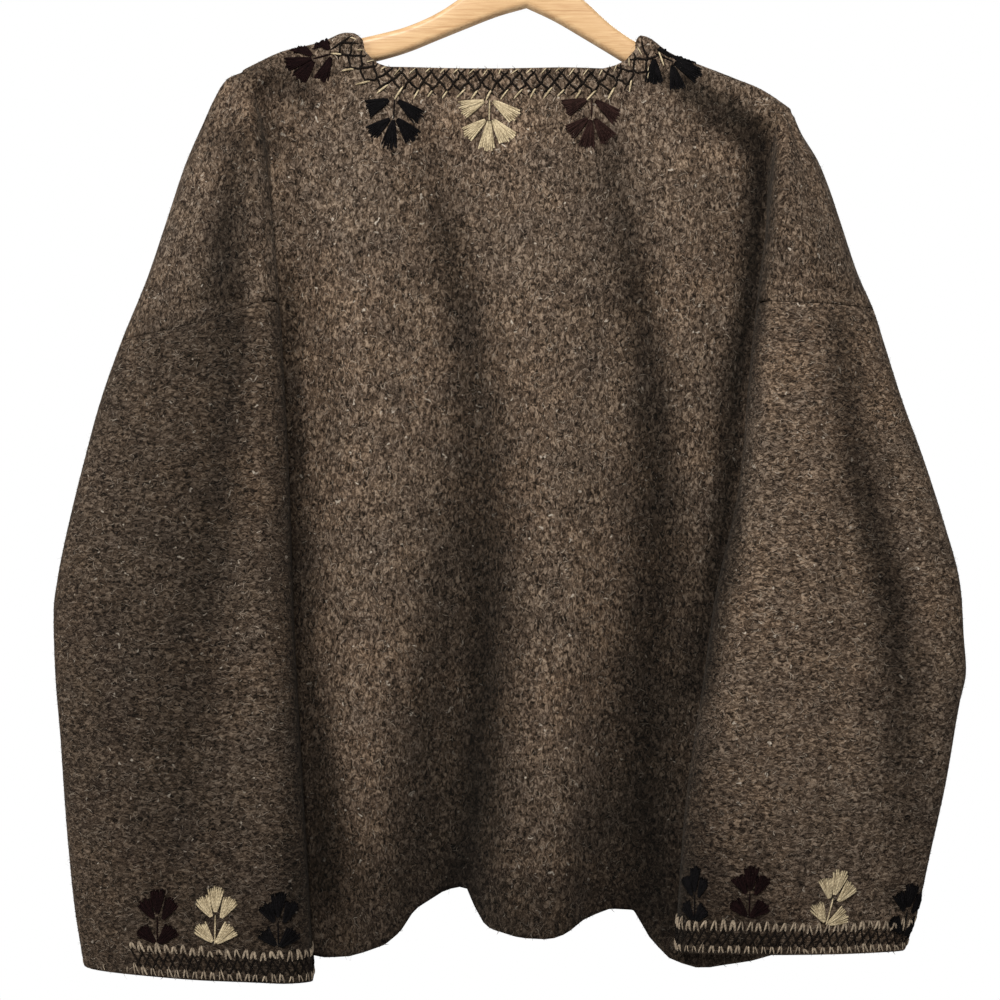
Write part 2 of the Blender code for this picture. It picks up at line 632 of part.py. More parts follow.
def cloth(name, cells, mat, flip, tube=False):
    """A panel or tube of cloth with its wall."""
    verts, faces = grid_mesh(cells)
    if tube:
        width = len(cells[0])
        swap = {r * width + width - 1: r * width for r in range(len(cells))}
        faces = [[swap.get(i, i) for i in f] for f in faces]
        used = sorted({i for f in faces for i in f})
        where = {i: n for n, i in enumerate(used)}
        verts = [verts[i] for i in used]
        faces = [[where[i] for i in f] for f in faces]
    if flip:
        faces = [f[::-1] for f in faces]
    obj = add(name, verts, faces, mat)
    wall = obj.modifiers.new("wall", "SOLIDIFY")
    wall.thickness = WALL * MM
    wall.offset = 0.0
    wall.use_even_offset = False
    wall.use_rim = True
    return obj


def hanger_bar(mat):
    """Wooden bar: level sections along both arms, rounded over and under, then leaned."""
    half = ARM_THICK / 2
    stations = sorted({-a[0] for a in ARM} | {a[0] for a in ARM} | {s * d for s in (-1, 1) for d in (10.0, 32.0, 55.0)})
    ring = 8
    verts = []
    for x in stations:
        top = float(curve([a[0] for a in ARM], [a[1] for a in ARM], abs(x))[0])
        low = float(curve([a[0] for a in ARM], [a[2] for a in ARM], abs(x))[0])
        r = min(half, (top - low) / 2.01)
        for centre, first in ((top - r, 0.0), (low + r, math.pi)):
            for k in range(ring + 1):
                a = first + math.pi * k / ring
                px, pz = lean(x, centre + r * math.sin(a))
                verts.append((px * MM, r * math.cos(a) * MM, pz * MM))
    n = 2 * (ring + 1)
    faces = [[s * n + k, s * n + (k + 1) % n, (s + 1) * n + (k + 1) % n, (s + 1) * n + k]
             for s in range(len(stations) - 1) for k in range(n)]
    faces.append(list(range(n))[::-1])
    faces.append([(len(stations) - 1) * n + k for k in range(n)])
    return add("hanger_bar", verts, faces, mat)


def hanger_hook(mat):
    """Wire hook: a stem out of the bar and an open loop, its inside top at the origin."""
    radius = HOOK_RADIUS + HOOK_WIRE / 2
    path = [(0.0, ARM[0][1] + 0.2), (0.0, -57.0), (0.3, -52.0), (2.5, -46.5), (7.5, -41.5)]
    for k in range(19):
        a = math.radians(-52.0 + 250.0 * k / 18)
        path.append((radius * math.cos(a), -HOOK_RADIUS + radius * math.sin(a)))
    pts = np.array([lean(*p) for p in path])
    tangent = np.gradient(pts, axis=0)
    tangent /= np.linalg.norm(tangent, axis=1)[:, None]
    tangent[0] = np.array(lean(0.0, 1.0))
    around = 10
    verts = []
    for (x, z), (tx, tz) in zip(pts, tangent):
        for k in range(around):
            a = 2 * math.pi * k / around
            side = HOOK_WIRE / 2 * math.cos(a)
            verts.append(((x - tz * side) * MM, HOOK_WIRE / 2 * math.sin(a) * MM, (z + tx * side) * MM))
    n = len(pts)
    faces = [[s * around + k, s * around + (k + 1) % around, (s + 1) * around + (k + 1) % around,
              (s + 1) * around + k] for s in range(n - 1) for k in range(around)]
    faces.append(list(range(around))[::-1])
    faces.append([(n - 1) * around + k for k in range(around)])
    return add("hanger_hook", verts, [f[::-1] for f in faces], mat)


def build():
    for obj in list(bpy.data.objects):
        bpy.data.objects.remove(obj)
    wool = material("wool", (0.083, 0.058, 0.040), 0.95)
    wood = material("wood", (0.76, 0.54, 0.30), 0.5)
    steel = material("steel", (0.55, 0.56, 0.58), 0.3, 1.0)
    cloth("back", back_cells(), wool, False)
    cloth("front_left", front_cells(LEFT), wool, False)
    cloth("front_right", front_cells(RIGHT), wool, True)
    cloth("sleeve_left", sleeve_cells(LEFT), wool, True, tube=True)
    cloth("sleeve_right", sleeve_cells(RIGHT), wool, False, tube=True)
    hanger_bar(wood)
    hanger_hook(steel)


build()
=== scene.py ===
"""Brown wool cardigan on a wooden hanger, its back towards the camera. Sizes in millimetres."""
import math

import bpy
import numpy as np
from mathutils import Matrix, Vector
from mathutils.bvhtree import BVHTree


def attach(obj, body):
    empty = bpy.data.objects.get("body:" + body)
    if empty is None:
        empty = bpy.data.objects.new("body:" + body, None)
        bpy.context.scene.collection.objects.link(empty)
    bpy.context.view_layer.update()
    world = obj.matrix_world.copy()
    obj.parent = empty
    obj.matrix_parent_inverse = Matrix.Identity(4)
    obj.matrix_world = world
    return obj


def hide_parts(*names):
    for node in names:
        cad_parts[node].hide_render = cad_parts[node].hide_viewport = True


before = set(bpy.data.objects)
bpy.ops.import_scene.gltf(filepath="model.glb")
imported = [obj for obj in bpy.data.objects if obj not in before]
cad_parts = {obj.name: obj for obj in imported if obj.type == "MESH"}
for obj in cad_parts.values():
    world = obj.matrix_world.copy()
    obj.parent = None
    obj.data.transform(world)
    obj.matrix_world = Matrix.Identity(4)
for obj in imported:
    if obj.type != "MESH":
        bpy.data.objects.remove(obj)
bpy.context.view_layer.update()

MM = 0.001
rng = np.random.default_rng(7)

# Cloth and seams
WALL = 2.4
SEAM_GAP = 0.4
# x of the neck's corners on the shoulder line and just below the arms
NECK_LEFT = (-137, -129)
NECK_RIGHT = (78.5, 74)
MIDDLE_X = -30.5
# The band's corners stand up from the hanger beside the neck: x, height above the arm
COLLAR = ((-145, 3.6), (84, 5))
COLLAR_WIDE = 10

# Hanger, drawn level under the hook's inside top and then leaned
LEAN = math.radians(4.5)
ARM_THICK = 11
# distance from the middle, top height, underside height
ARM = (
    (0, -62, -91.5), (20, -65, -99), (45, -84, -111), (65, -99.5, -121), (85, -110.8, -131),
    (110, -120, -140.5), (135, -127.5, -147.5), (160, -135, -154), (182, -142.5, -160.5),
    (192, -148.5, -163.5), (196.5, -155, -161.5),
)
HOOK_WIRE = 3.5
HOOK_RADIUS = 20

# Back neckline: x, height. Its ends start below the arms.
BACK_NECK = (
    (-129, -123.5), (-123.5, -129.5), (-118.5, -134), (-111, -136.8), (-27, -138), (50, -138), (59, -135.5),
    (67, -131.5), (74, -123.5),
)
# Front neckline: distance from the middle of the neck, height
FRONT_NECK = (
    (5, -230), (30, -221), (60, -199), (80, -174), (92, -148), (98.5, -123.5),
)
# Hem of the back: x, height
BACK_HEM = (
    (-255, -791), (-200, -795), (-158, -800), (-136, -798), (-113, -790.5), (-102, -782), (-91, -766),
    (-68, -752), (-52, -748.5), (-46, -762), (-37, -777), (-12, -784), (10, -785), (22, -781), (33, -773.5),
    (55, -766), (73, -767), (86, -789), (101, -804), (123, -811), (160, -807), (215, -794),
)
# Hem of the fronts: distance from the middle, height
FRONT_HEM = (
    (5, -742), (60, -744), (110, -762), (160, -784), (235, -793),
)
# Folds of the back towards the camera, three heights each:
# x, left half width, right half width, steepness, height of the fold
FOLD_LEVELS = (-180, -450, -780)
BACK_FOLDS = (
    ((-125, 40, 42, 2, 7), (-127, 38, 44, 2, 15), (-138, 34, 40, 2.5, 20)),
    ((22, 40, 30, 2, 7), (4, 40, 46, 2.2, 18), (0, 44, 34, 4, 25)),
    ((112, 30, 32, 2, 8), (122, 24, 24, 2, 5), (112, 18, 24, 2.6, 5)),
)
# Folds of the fronts away from the camera, by distance from the middle
FRONT_FOLDS = (
    ((62, 22, 26, 2, 2), (58, 26, 30, 2, 7), (52, 28, 32, 2, 11)),
    ((128, 20, 20, 2, 1), (136, 26, 26, 2, 6), (140, 30, 30, 2, 9)),
)
# Depth of the flat cloth between folds: height, back panel, front panels
HANG = (
    (-110, -7.6, 7.6), (-180, -7.4, 10), (-260, -6.5, 16), (-350, -4.5, 22), (-500, -2.5, 26),
    (-800, -2, 27),
)

# Each side's named lines, as height and x: the sleeve's inner fold edge, its outer outline, the side seam
LEFT = {
    "fold": (
        (-138, -208), (-150, -213), (-165, -210.5), (-197, -204), (-250, -198),
        (-313, -192.5), (-387, -188), (-460, -184), (-562, -180.5), (-650, -175.5),
        (-752, -169.5), (-815, -166),
    ),
    "outer": (
        (-138.5, -219), (-142, -227), (-148, -233.5), (-158, -239.5), (-175, -247), (-205, -260),
        (-250, -275), (-295, -290), (-341, -308.5), (-386, -324), (-430, -335.5),
        (-475, -346), (-519, -354.5), (-541, -357), (-586, -355.5), (-630, -352),
        (-719, -345.5), (-763, -341), (-807, -334),
    ),
    "side": (
        (-395, -189.2), (-415, -189.8), (-440, -193.5), (-480, -203), (-560, -220),
        (-680, -238), (-800, -250),
    ),
    "top_x": -176,
    "inward": 1,
}
RIGHT = {
    "fold": (
        (-160, 178), (-172, 181), (-184, 180.5), (-208, 178), (-254, 172.5),
        (-314, 165), (-387, 158), (-460, 151), (-533, 134.5), (-606, 123.5),
        (-679, 112.5), (-774, 105), (-800, 103),
    ),
    "outer": (
        (-167.5, 190), (-171, 191.8), (-176, 193.5), (-184, 197), (-205, 209.5), (-227, 218.5),
        (-250, 226), (-295, 241), (-318, 251), (-342, 258.5), (-386, 272),
        (-430, 287.5), (-475, 301.5), (-519, 313), (-563, 316), (-586, 317.5),
        (-608, 313), (-674, 301.5), (-719, 291.5), (-763, 281.5), (-787, 273.5),
    ),
    "side": (
        (-387, 159.5), (-407, 160), (-430, 163.5), (-470, 168), (-560, 182),
        (-680, 198), (-800, 212),
    ),
    "top_x": 146,
    "inward": -1,
}

# Control columns round a sleeve, from the underarm over the near layer to the far layer:
# name, place along the row, share of the way from fold edge to outline, the same on the shoulder line,
# armhole seam height and cuff height on the left and on the right
NEAR = (
    ("underarm", 0, 0.00, 0.00, -395, -808, -387, -789),
    ("wall", 15, 0.00, 0.14, -357, -812, -351, -792),
    ("fold", 34, 0.00, 0.29, -313, -814, -314, -792),
    ("crest", 55, 0.13, 0.44, -316, -813, -315, -790.5),
    ("middle", 108, 0.56, 0.72, -331, -810, -316, -792.5),
    ("shoulder", 150, 0.93, 0.92, -341, -805, -318, -793),
    ("outline", 164, 1.00, 1.00, -342, -803, -319, -786),
)
FAR = (
    ("outline", 0, 1.00, 1.00, -342, -803, -319, -786),
    ("far_shoulder", 13, 0.93, 0.90, -343, -803, -320, -788),
    ("far_middle", 70, 0.55, 0.55, -372, -806, -352, -795),
    ("far_inner", 118, 0.16, 0.18, -389, -807, -380, -790),
    ("far_underarm", 140, 0.00, 0.00, -395, -808, -387, -789),
)
# Depth of those columns. Level 0 is where the cloth has come down over the arm, 1 the armhole seam,
# 2 the cuff. Levels from -1 to 0 go over the arm.
LEVELS = (0, 0.06, 0.14, 0.3, 0.6, 1, 1.05, 1.15, 1.35, 1.6, 2)
DEPTH_LEFT = {
    "underarm": (-7.5, -8, -8.5, -8.5, -6.5, -1.2, -7, -9.5, -10, -10, -10),
    "wall": (-7.5, -9, -11, -14.5, -16.5, -18.5, -19.5, -21, -22, -22.5, -21),
    "fold": (-7.5, -12, -17, -25, -31, -35, -36, -37, -39, -40, -37),
    "crest": (-7.5, -14, -20, -31, -41, -47, -49, -52, -57, -60, -53),
    "middle": (-7.5, -12, -16, -24, -33, -40, -42, -46, -54, -57, -50),
    "shoulder": (-6.5, -8.5, -9.5, -11, -14, -17, -18, -21, -28, -34, -31),
    "outline": (0, 0, 0, -1, -3, -5, -6, -9, -16, -22, -21),
    "far_shoulder": (6.5, 8, 9, 9, 8, 6, 4, 1, -5, -10, -11),
    "far_middle": (7.5, 10, 12, 14, 14, 10, 7, 1, -8, -10, -11),
    "far_inner": (7.5, 10, 12, 15, 14, 7, -1, -8, -10, -10, -10),
    "far_underarm": (7.5, 9, 11, 14, 11, 1.2, -7, -9.5, -10, -10, -10),
}
DEPTH_RIGHT = DEPTH_LEFT | {
    "wall": (-7.5, -8.8, -11, -15.5, -18, -18, -19, -21, -23, -23, -22),
    "fold": (-7.5, -10, -14, -27, -37, -39, -40, -41, -42, -42, -39),
    "crest": (-7.5, -11.5, -17, -33, -47, -53, -55, -58, -62, -64, -58),
    "middle": (-7.5, -11, -14.5, -24, -36, -44, -46, -49, -54, -56, -50),
    "shoulder": (-6.5, -8.5, -9.5, -11, -14, -17, -18, -21, -27, -31, -29),
    "outline": (0, 0, 0, -1, -3, -5, -6, -9, -15, -20, -20),
}
# Side seam below the underarm: drop, depth of the seam, how far the panels have turned to meet edge to edge
SIDE_TURN = ((0, -0.1, 0), (20, 1, 8), (45, 5, 50), (80, 10, 85), (150, 13, 90),
             (420, 14, 90))
SIDE_ROUND = 9
SIDE_STRAIGHT = 1.5
EDGE_STEPS = (0, 3, 7, 11, 15)
ARM_ROUND = 7.5

# Grid steps
TOP_ROWS = np.r_[np.linspace(-1.0, 0.0, 9)[:-1], np.linspace(0.0, 0.2, 13)[:-1], np.linspace(0.2, 1.0, 35)]
LOW_ROWS = np.linspace(0.0, 1.0, 78)[1:]
SLEEVE_ROWS = 1.0 + np.r_[np.linspace(0.0, 0.12, 9)[:-1], np.linspace(0.12, 1.0, 84)]
NEAR_STEPS = np.r_[np.linspace(0.0, 60.0, 17)[:-1], np.linspace(60.0, 150.0, 22)[:-1],
                   np.linspace(150.0, 164.0, 6)]
FAR_STEPS = np.r_[np.linspace(0.0, 16.0, 6)[:-1], np.linspace(16.0, 140.0, 27)]
BACK_COLUMNS = (12, 50, 14)
FRONT_COLUMNS = (26, 14)
RUN_POINTS = 150
SEAM_SLACK = 0.2

# Soft creases: x and height of both ends, half width, depth away from the eye (a ridge where negative)
BACK_CREASES = (
    (116, -178, 156, -198, 12, 6), (158, -203, 153, -290, 11, 5), (-196, -205, -180, -345, 9, 3.5),
    (-66, -215, -46, -310, 17, 3), (-46, -310, -58, -470, 14, 3.5), (-58, -480, -62, -720, 14, 3),
    (63, -205, 86, -310, 15, 3), (86, -310, 106, -430, 13, 3.5), (106, -430, 84, -690, 13, 3),
    (-42, -390, -38, -600, 10, 5), (-134, -260, -152, -520, 10, -1.6), (-112, -190, -108, -330, 12, -1.5),
    (2, -170, -12, -300, 12, -1.5), (34, -330, 22, -600, 9, -1.6), (-20, -560, -24, -760, 8, -1.5),
    (-104, -560, -96, -770, 9, 1.8), (-160, -600, -150, -780, 9, 1.6), (40, -640, 48, -760, 8, -1.2),
    (-249, -315.5, -214, -312, 4.5, 6.5), (-352, -636, -250, -650, 7, 2.4),
    (-244, -380, -226, -620, 22, 5.5), (-300, -440, -318, -560, 14, 1.8), (-268, -680, -262, -780, 10, 1.8),
    (-226, -560, -206, -760, 9, -1.5), (-230, -200, -262, -300, 9, -1.2), (-214, -230, -236, -300, 7, 1.4),
    (211, -303, 236, -312, 4, 5.5), (236, -330, 262, -450, 14, 3.2), (262, -450, 274, -650, 14, 3),
    (208, -360, 202, -560, 12, -1.6), (214, -600, 232, -760, 12, 2), (158, -600, 150, -760, 9, -1.4),
    (300, -560, 268, -600, 8, -1.5),
)
FRONT_CREASES = (
    (-118, -260, -96, -520, 14, 3), (-96, -520, -112, -740, 13, 3), (-60, -300, -52, -700, 10, -1.6),
    (-180, -420, -190, -760, 12, 2.4), (60, -270, 44, -560, 14, 3), (44, -560, 52, -740, 13, 2.6),
    (110, -420, 118, -760, 12, 2.6), (12, -330, 4, -700, 9, -1.5), (-262, -330, -232, -322, 5, 2.5),
    (-320, -480, -250, -500, 8, 2), (-290, -620, -240, -780, 13, 2.4), (240, -330, 262, -470, 13, 2.6),
    (270, -560, 200, -590, 8, 2), (220, -620, 190, -770, 12, 2.2),
)
# Painted shade: the wool's colour is darkened in the hollows between the folds and over broader parts that
# lie in shade: chains of x, height, half width, share
BACK_PAINTED_SHADE = (
    ((104, -148, 11, 0.66), (150, -176, 13, 0.82), (166, -190, 15, 0.93), (168, -215, 13, 0.92),
     (159, -311, 11, 0.90), (146, -400, 12, 0.85), (140, -490, 11, 0.80), (118, -600, 12, 0.74)),
    ((-84, -185, 14, 0.15), (-66, -267, 18, 0.48), (-48, -350, 23, 0.50), (-42, -400, 25, 0.52),
     (-39, -500, 27, 0.78), (-40, -600, 24, 0.88), (-50, -713, 24, 0.90), (-58, -760, 24, 0.90)),
    ((-70, -460, 18, 0.15), (-80, -600, 23, 0.56), (-88, -750, 23, 0.58)),
    ((54, -190, 13, 0.20), (71, -281, 17, 0.52), (86, -371, 19, 0.64), (92, -505, 29, 0.78),
     (86, -640, 41, 0.85), (82, -760, 46, 0.90)),
    ((-186, -290, 8, 0.45), (-181, -400, 9, 0.60), (-172, -600, 12, 0.66), (-160, -700, 20, 0.80),
     (-156, -745, 22, 0.84)),
    ((-208, -144, 20, 0.46), (-176, -156, 19, 0.50), (-158, -152, 14, 0.20)),
    ((-246, -186, 18, 0.30), (-196, -190, 17, 0.40)),
    ((-222, -205, 15, 0.40), (-227, -260, 19, 0.68), (-228, -304, 17, 0.62), (-222, -345, 18, 0.40),
     (-228, -420, 21, 0.40), (-238, -505, 22, 0.32), (-256, -640, 24, 0.22), (-262, -720, 22, 0.1)),
    ((220, -325, 10, 0.30), (233, -438, 13, 0.58), (258, -527, 15, 0.66), (266, -615, 19, 0.42),
     (272, -740, 24, 0.25)),
    # Broad painted shade over the left sleeve's near side
    ((-262, -345, 60, 0.34), (-290, -600, 90, 0.34), (-262, -820, 90, 0.34)),
    # Painted shade along the bottom, over the hem and the cuffs
    ((-140, -805, 92, 0.60), (110, -805, 92, 0.66)),
    ((120, -800, 48, 0.08), (300, -805, 48, 0.18)),
)
FRONT_PAINTED_SHADE = (
    ((-118, -240, 14, 0.25), (-98, -520, 20, 0.55), (-110, -745, 24, 0.68)),
    ((60, -250, 14, 0.25), (46, -560, 20, 0.55), (52, -745, 24, 0.66)),
    ((-170, -400, 10, 0.40), (-166, -740, 15, 0.60)),
    ((130, -400, 10, 0.40), (112, -740, 15, 0.60)),
    ((-262, -420, 16, 0.30), (-276, -640, 22, 0.25)),
    ((236, -420, 16, 0.35), (256, -620, 20, 0.30)),
    # Painted shade along the bottom of the fronts
    ((-140, -800, 80, 0.45), (110, -800, 80, 0.45)),
)


def table(rows, at, column=1):
    """A column of a table by its first column, straight between rows."""
    data = sorted(rows)
    return np.interp(at, [r[0] for r in data], [r[column] for r in data])


def curve(knots, values, at):
    """Smooth curve through the values at the knots, never beyond them."""
    k = np.asarray(knots, float)
    v = np.asarray(values, float)
    if v.ndim == 1:
        v = v[:, None]
    step = np.diff(k)[:, None]
    slope = np.diff(v, axis=0) / step
    tangent = np.empty_like(v)
    tangent[0] = slope[0]
    tangent[-1] = slope[-1]
    mean = (slope[:-1] * step[1:] + slope[1:] * step[:-1]) / (step[1:] + step[:-1])
    least = np.minimum(np.abs(slope[:-1]), np.abs(slope[1:]))
    same = slope[:-1] * slope[1:] > 0.0
    tangent[1:-1] = np.where(same, np.sign(mean) * np.minimum(np.abs(mean), 3.0 * least), 0.0)
    x = np.clip(np.atleast_1d(np.asarray(at, float)), k[0], k[-1])
    i = np.clip(np.searchsorted(k, x, side="right") - 1, 0, len(k) - 2)
    h = step[i]
    s = (x[:, None] - k[i][:, None]) / h
    a = 2 * s ** 3 - 3 * s ** 2 + 1
    b = s ** 3 - 2 * s ** 2 + s
    c = -2 * s ** 3 + 3 * s ** 2
    d = s ** 3 - s ** 2
    out = a * v[i] + b * h * tangent[i] + c * v[i + 1] + d * h * tangent[i + 1]
    return out[:, 0] if np.ndim(values[0]) == 0 else out


def line(rows, z):
    """x of a named line at a height."""
    data = sorted(rows)
    return curve([r[0] for r in data], [r[1] for r in data], z)


def ease(u):
    u = np.clip(u, 0.0, 1.0)
    return u * u * (3.0 - 2.0 * u)


def lean(x, z):
    """A point of the level hanger, leaned about the hook's inside top."""
    return x * math.cos(LEAN) + z * math.sin(LEAN), z * math.cos(LEAN) - x * math.sin(LEAN)


def shoulder_line():
    """The cloth's top line over the arms, as x and height."""
    above = 1.9
    xs = np.linspace(-ARM[-1][0], ARM[-1][0], 161)
    top = curve([a[0] for a in ARM], [a[1] for a in ARM], np.abs(xs)) + above
    px, pz = lean(xs, top)
    for x, high in COLLAR:
        pz = pz + high * np.exp(-((px - x) / COLLAR_WIDE) ** 2)
    lx, lz = LEFT["outer"][0][1], LEFT["outer"][0][0]
    rx, rz = RIGHT["outer"][0][1], RIGHT["outer"][0][0]
    keep = (px > lx + 20.0) & (px < rx - 14.5)
    return np.r_[lx, px[keep], rx], np.r_[lz, pz[keep], rz]


RIDGE_X, RIDGE_Z = shoulder_line()


def ridge(x):
    return np.interp(x, RIDGE_X, RIDGE_Z)


def over_arm(t):
    """Drop below the shoulder line and share of the full depth at a level."""
    angle = 0.5 * math.pi * min(1.0, 1.0 + t)
    return ARM_ROUND * (1.0 - math.cos(angle)), math.sin(angle)


def folds(rows, x, z):
    """Sum of the folds' heights at a point."""
    total = 0.0
    for fold in rows:
        at, left, right, steep, high = (curve(FOLD_LEVELS[::-1], [lev[c] for lev in fold[::-1]], np.ravel(z))
                                        .reshape(np.shape(z)) for c in range(5))
        width = np.where(x < at, left, right)
        total = total + high * np.exp(-(np.abs(x - at) / width) ** steep)
    return total


def back_depth(x, z):
    soft = ease((ridge(x) - z - 8.0) / 70.0)
    return table(HANG, z, 1) - soft * folds(BACK_FOLDS, x, z)


def front_depth(x, z):
    soft = ease((ridge(x) - z - 8.0) / 120.0)
    return table(HANG, z, 2) + soft * folds(FRONT_FOLDS, np.abs(x - MIDDLE_X), z)


def column_depth(name, values, t):
    """Depth of a control column; at the underarm the sleeve starts apart from the panels."""
    if "underarm" not in name:
        return float(curve(LEVELS, values, max(t, 0.0))[0])
    if t <= 1.0:
        return float(curve(LEVELS[:6], values[:6], max(t, 0.0))[0])
    return float(curve(LEVELS[5:], (-0.1,) + values[6:], t)[0])


def side_points(side, columns, t, sign):
    """Control points of one side at a level, near layer -1 or far layer 1: rows of x, y, z."""
    depth = DEPTH_LEFT if side is LEFT else DEPTH_RIGHT
    first = 4 if side is LEFT else 6
    apart = sign * SEAM_GAP / 2 if t <= 1.0 else 0.0
    corner = sign * 1.2 * (1.0 - float(ease(t / 0.08)))
    drop, share_y = over_arm(t)
    start, stop = side["top_x"], side["outer"][0][1]
    out = []
    for col in columns:
        name, share = col[0], col[2]
        seam, cuff = col[first], col[first + 1]
        top_x = start + (stop - start) * col[3]
        end = col[3] ** 3
        z = float(ridge(top_x)) - drop * (1.0 - end) - ARM_ROUND * (1.0 + min(t, 0.0)) * end
        if t > 1.0:
            z = seam + (cuff - seam) * (t - 1.0)
        elif t > 0.0:
            z += (seam - z) * t
        inner = float(line(side["fold"], z)[0])
        outer = float(line(side["outer"], z)[0])
        width = abs(outer - inner)
        x = inner + (outer - inner) * share
        if name == "crest" and width > 0.0:
            x = inner + (outer - inner) * max(share, min(0.3, 6.0 / width))
        if "shoulder" in name:
            x = outer + side["inward"] * min(3.5, 0.15 * width)
        open_out = side["inward"] * max(0.0, 1.0 - max(t, 0.0) / 0.5)
        if name == "wall":
            x += 4.0 * open_out
        if "underarm" in name:
            x = inner - side["inward"] * 1.5 + 12.0 * open_out
            if t > 1.0:
                x -= side["inward"] * (3.0 + 9.0 * min(1.0, (t - 1.0) / 0.1))
        x = top_x + (x - top_x) * float(ease((t + end) / (0.16 + end)))
        out.append((x, column_depth(name, depth[name], t) * share_y + apart + corner * col[3] ** 8, z))
    return np.array(out)


def near_row(side, t, steps):
    """The near layer of a side at a level, underarm to outline."""
    pts = side_points(side, NEAR, t, -1.0)
    ghost = side_points(side, FAR, t, 1.0)[1]
    knots = [c[1] for c in NEAR] + [NEAR[-1][1] + FAR[1][1]]
    row = curve(knots, np.vstack([pts, ghost]), steps)
    if t > 1.0:
        hidden = np.clip(1.0 - np.asarray(steps) / 46.0, 0.0, 1.0)
        row[:, 2] -= 6.0 * hidden * max(0.0, 1.0 - (t - 1.0) / 0.03)
    return row


def far_row(side, t, steps):
    """The far layer of a side at a level, outline to underarm."""
    pts = side_points(side, FAR, t, 1.0)
    ghost = side_points(side, NEAR, t, -1.0)[-2]
    knots = [-(NEAR[-1][1] - NEAR[-2][1])] + [c[1] for c in FAR]
    row = curve(knots, np.vstack([ghost, pts]), steps)
    if t > 1.0:
        hidden = np.clip((np.asarray(steps) - 100.0) / 40.0, 0.0, 1.0)
        row[:, 2] -= 6.0 * hidden * max(0.0, 1.0 - (t - 1.0) / 0.03)
    return row


def spread(points, count, ends):
    """Points at even steps along a finely drawn row, closer at its ends where asked."""
    d = np.linalg.norm(np.diff(points, axis=0), axis=1)
    s = np.linspace(0.0, 1.0, len(d))
    weight = 1.0 + ends[0] * np.exp(-(s / 0.08) ** 2) + ends[1] * np.exp(-((1.0 - s) / 0.08) ** 2)
    run = np.r_[0.0, np.cumsum(d * weight)]
    at = np.linspace(0.0, run[-1], count + 1)
    return np.stack([np.interp(at, run, points[:, k]) for k in range(3)], axis=1)


def lead(side, x, y, edge_x, edge_y, reach):
    """Leads a row's depth to a given depth at a side's edge."""
    w = ease(1.0 - np.maximum(0.0, (x - edge_x) * side["inward"]) / reach)
    return y + (edge_y - y) * w


def side_z(side, low):
    """Height of the side seam at a share of its length."""
    top = side["side"][0][0]
    hem = float(table(BACK_HEM, line(side["side"], -797.0)[0]))
    return top + (hem - top) * low


def side_end(side, z, sign):
    """The end of a panel at the side seam, from its edge inwards: x, depth, height."""
    drop = side["side"][0][0] - z
    x_side = float(line(side["side"], z)[0])
    y_seam = float(table(SIDE_TURN, drop, 1))
    turn = math.radians(float(table(SIDE_TURN, drop, 2)))
    y_edge = y_seam + sign * (SEAM_GAP / 2 + 0.5 * WALL * math.cos(turn))
    out = [(x_side, y_edge)]
    x = x_side + side["inward"] * SIDE_STRAIGHT * math.cos(turn)
    y = y_edge + sign * SIDE_STRAIGHT * math.sin(turn)
    for k in range(4):
        a = turn * (1.0 - k / 3.0)
        flat = (3.0 + 9.0 * k / 3.0) * (1.0 - turn / math.radians(90.0)) * (k > 0)
        px = x + side["inward"] * (SIDE_ROUND * (math.sin(turn) - math.sin(a)) + flat)
        py = y + sign * SIDE_ROUND * (math.cos(a) - math.cos(turn))
        out.append((px, py))
    return np.array([(px, py, z) for px, py in out])


def neck_x(mark, t):
    return mark[0] + (mark[1] - mark[0]) * float(ease(1.0 + min(t, 0.0)))


def top_height(x, t, neck):
    """Height of a column's start."""
    drop = over_arm(t)[0]
    return np.minimum(ridge(x) - ARM_ROUND, neck) if neck is not None else ridge(x) - drop


def body_run(x, x_top, t, low, z_under, hem, depth, share_y, sign, neck):
    """A run of a row: x, depth and height from the columns' starts, the armhole level and the hem."""
    if low is None:
        start = top_height(x_top, t, neck)
        z = start + (z_under - start) * max(t, 0.0)
    else:
        z = z_under + (hem(x) - z_under) * low
    y = depth(x, z) * share_y + sign * SEAM_GAP / 2
    return np.stack([x, y, z], axis=1)


def under_height(x):
    """Height of the armhole level across the body."""
    return np.interp(x, (LEFT["side"][0][1], RIGHT["side"][0][1]), (LEFT["side"][0][0], RIGHT["side"][0][0]))


def panel_end(side, t, low, share_y, sign):
    """A panel's columns at a sleeve or side seam, from the seam inwards, and their depth."""
    if low is not None:
        row = side_end(side, side_z(side, low), sign)
        return row, row[-1, 1]
    columns, depth = (NEAR[:1], back_depth) if sign < 0.0 else (FAR[-1:], front_depth)
    x0, y0, z0 = side_points(side, columns, t, sign)[0]
    steps = np.array(EDGE_STEPS)
    inwards = side["inward"] * steps
    under = np.full(len(steps), side["side"][0][0])
    row = body_run(x0 + inwards, side["top_x"] + inwards, t, None, under, None, depth, share_y, sign, None)
    row[:, 1] = y0
    row[:, 2] += (z0 - row[0, 2]) * ease(1.0 - steps / EDGE_STEPS[-1])
    return row, y0


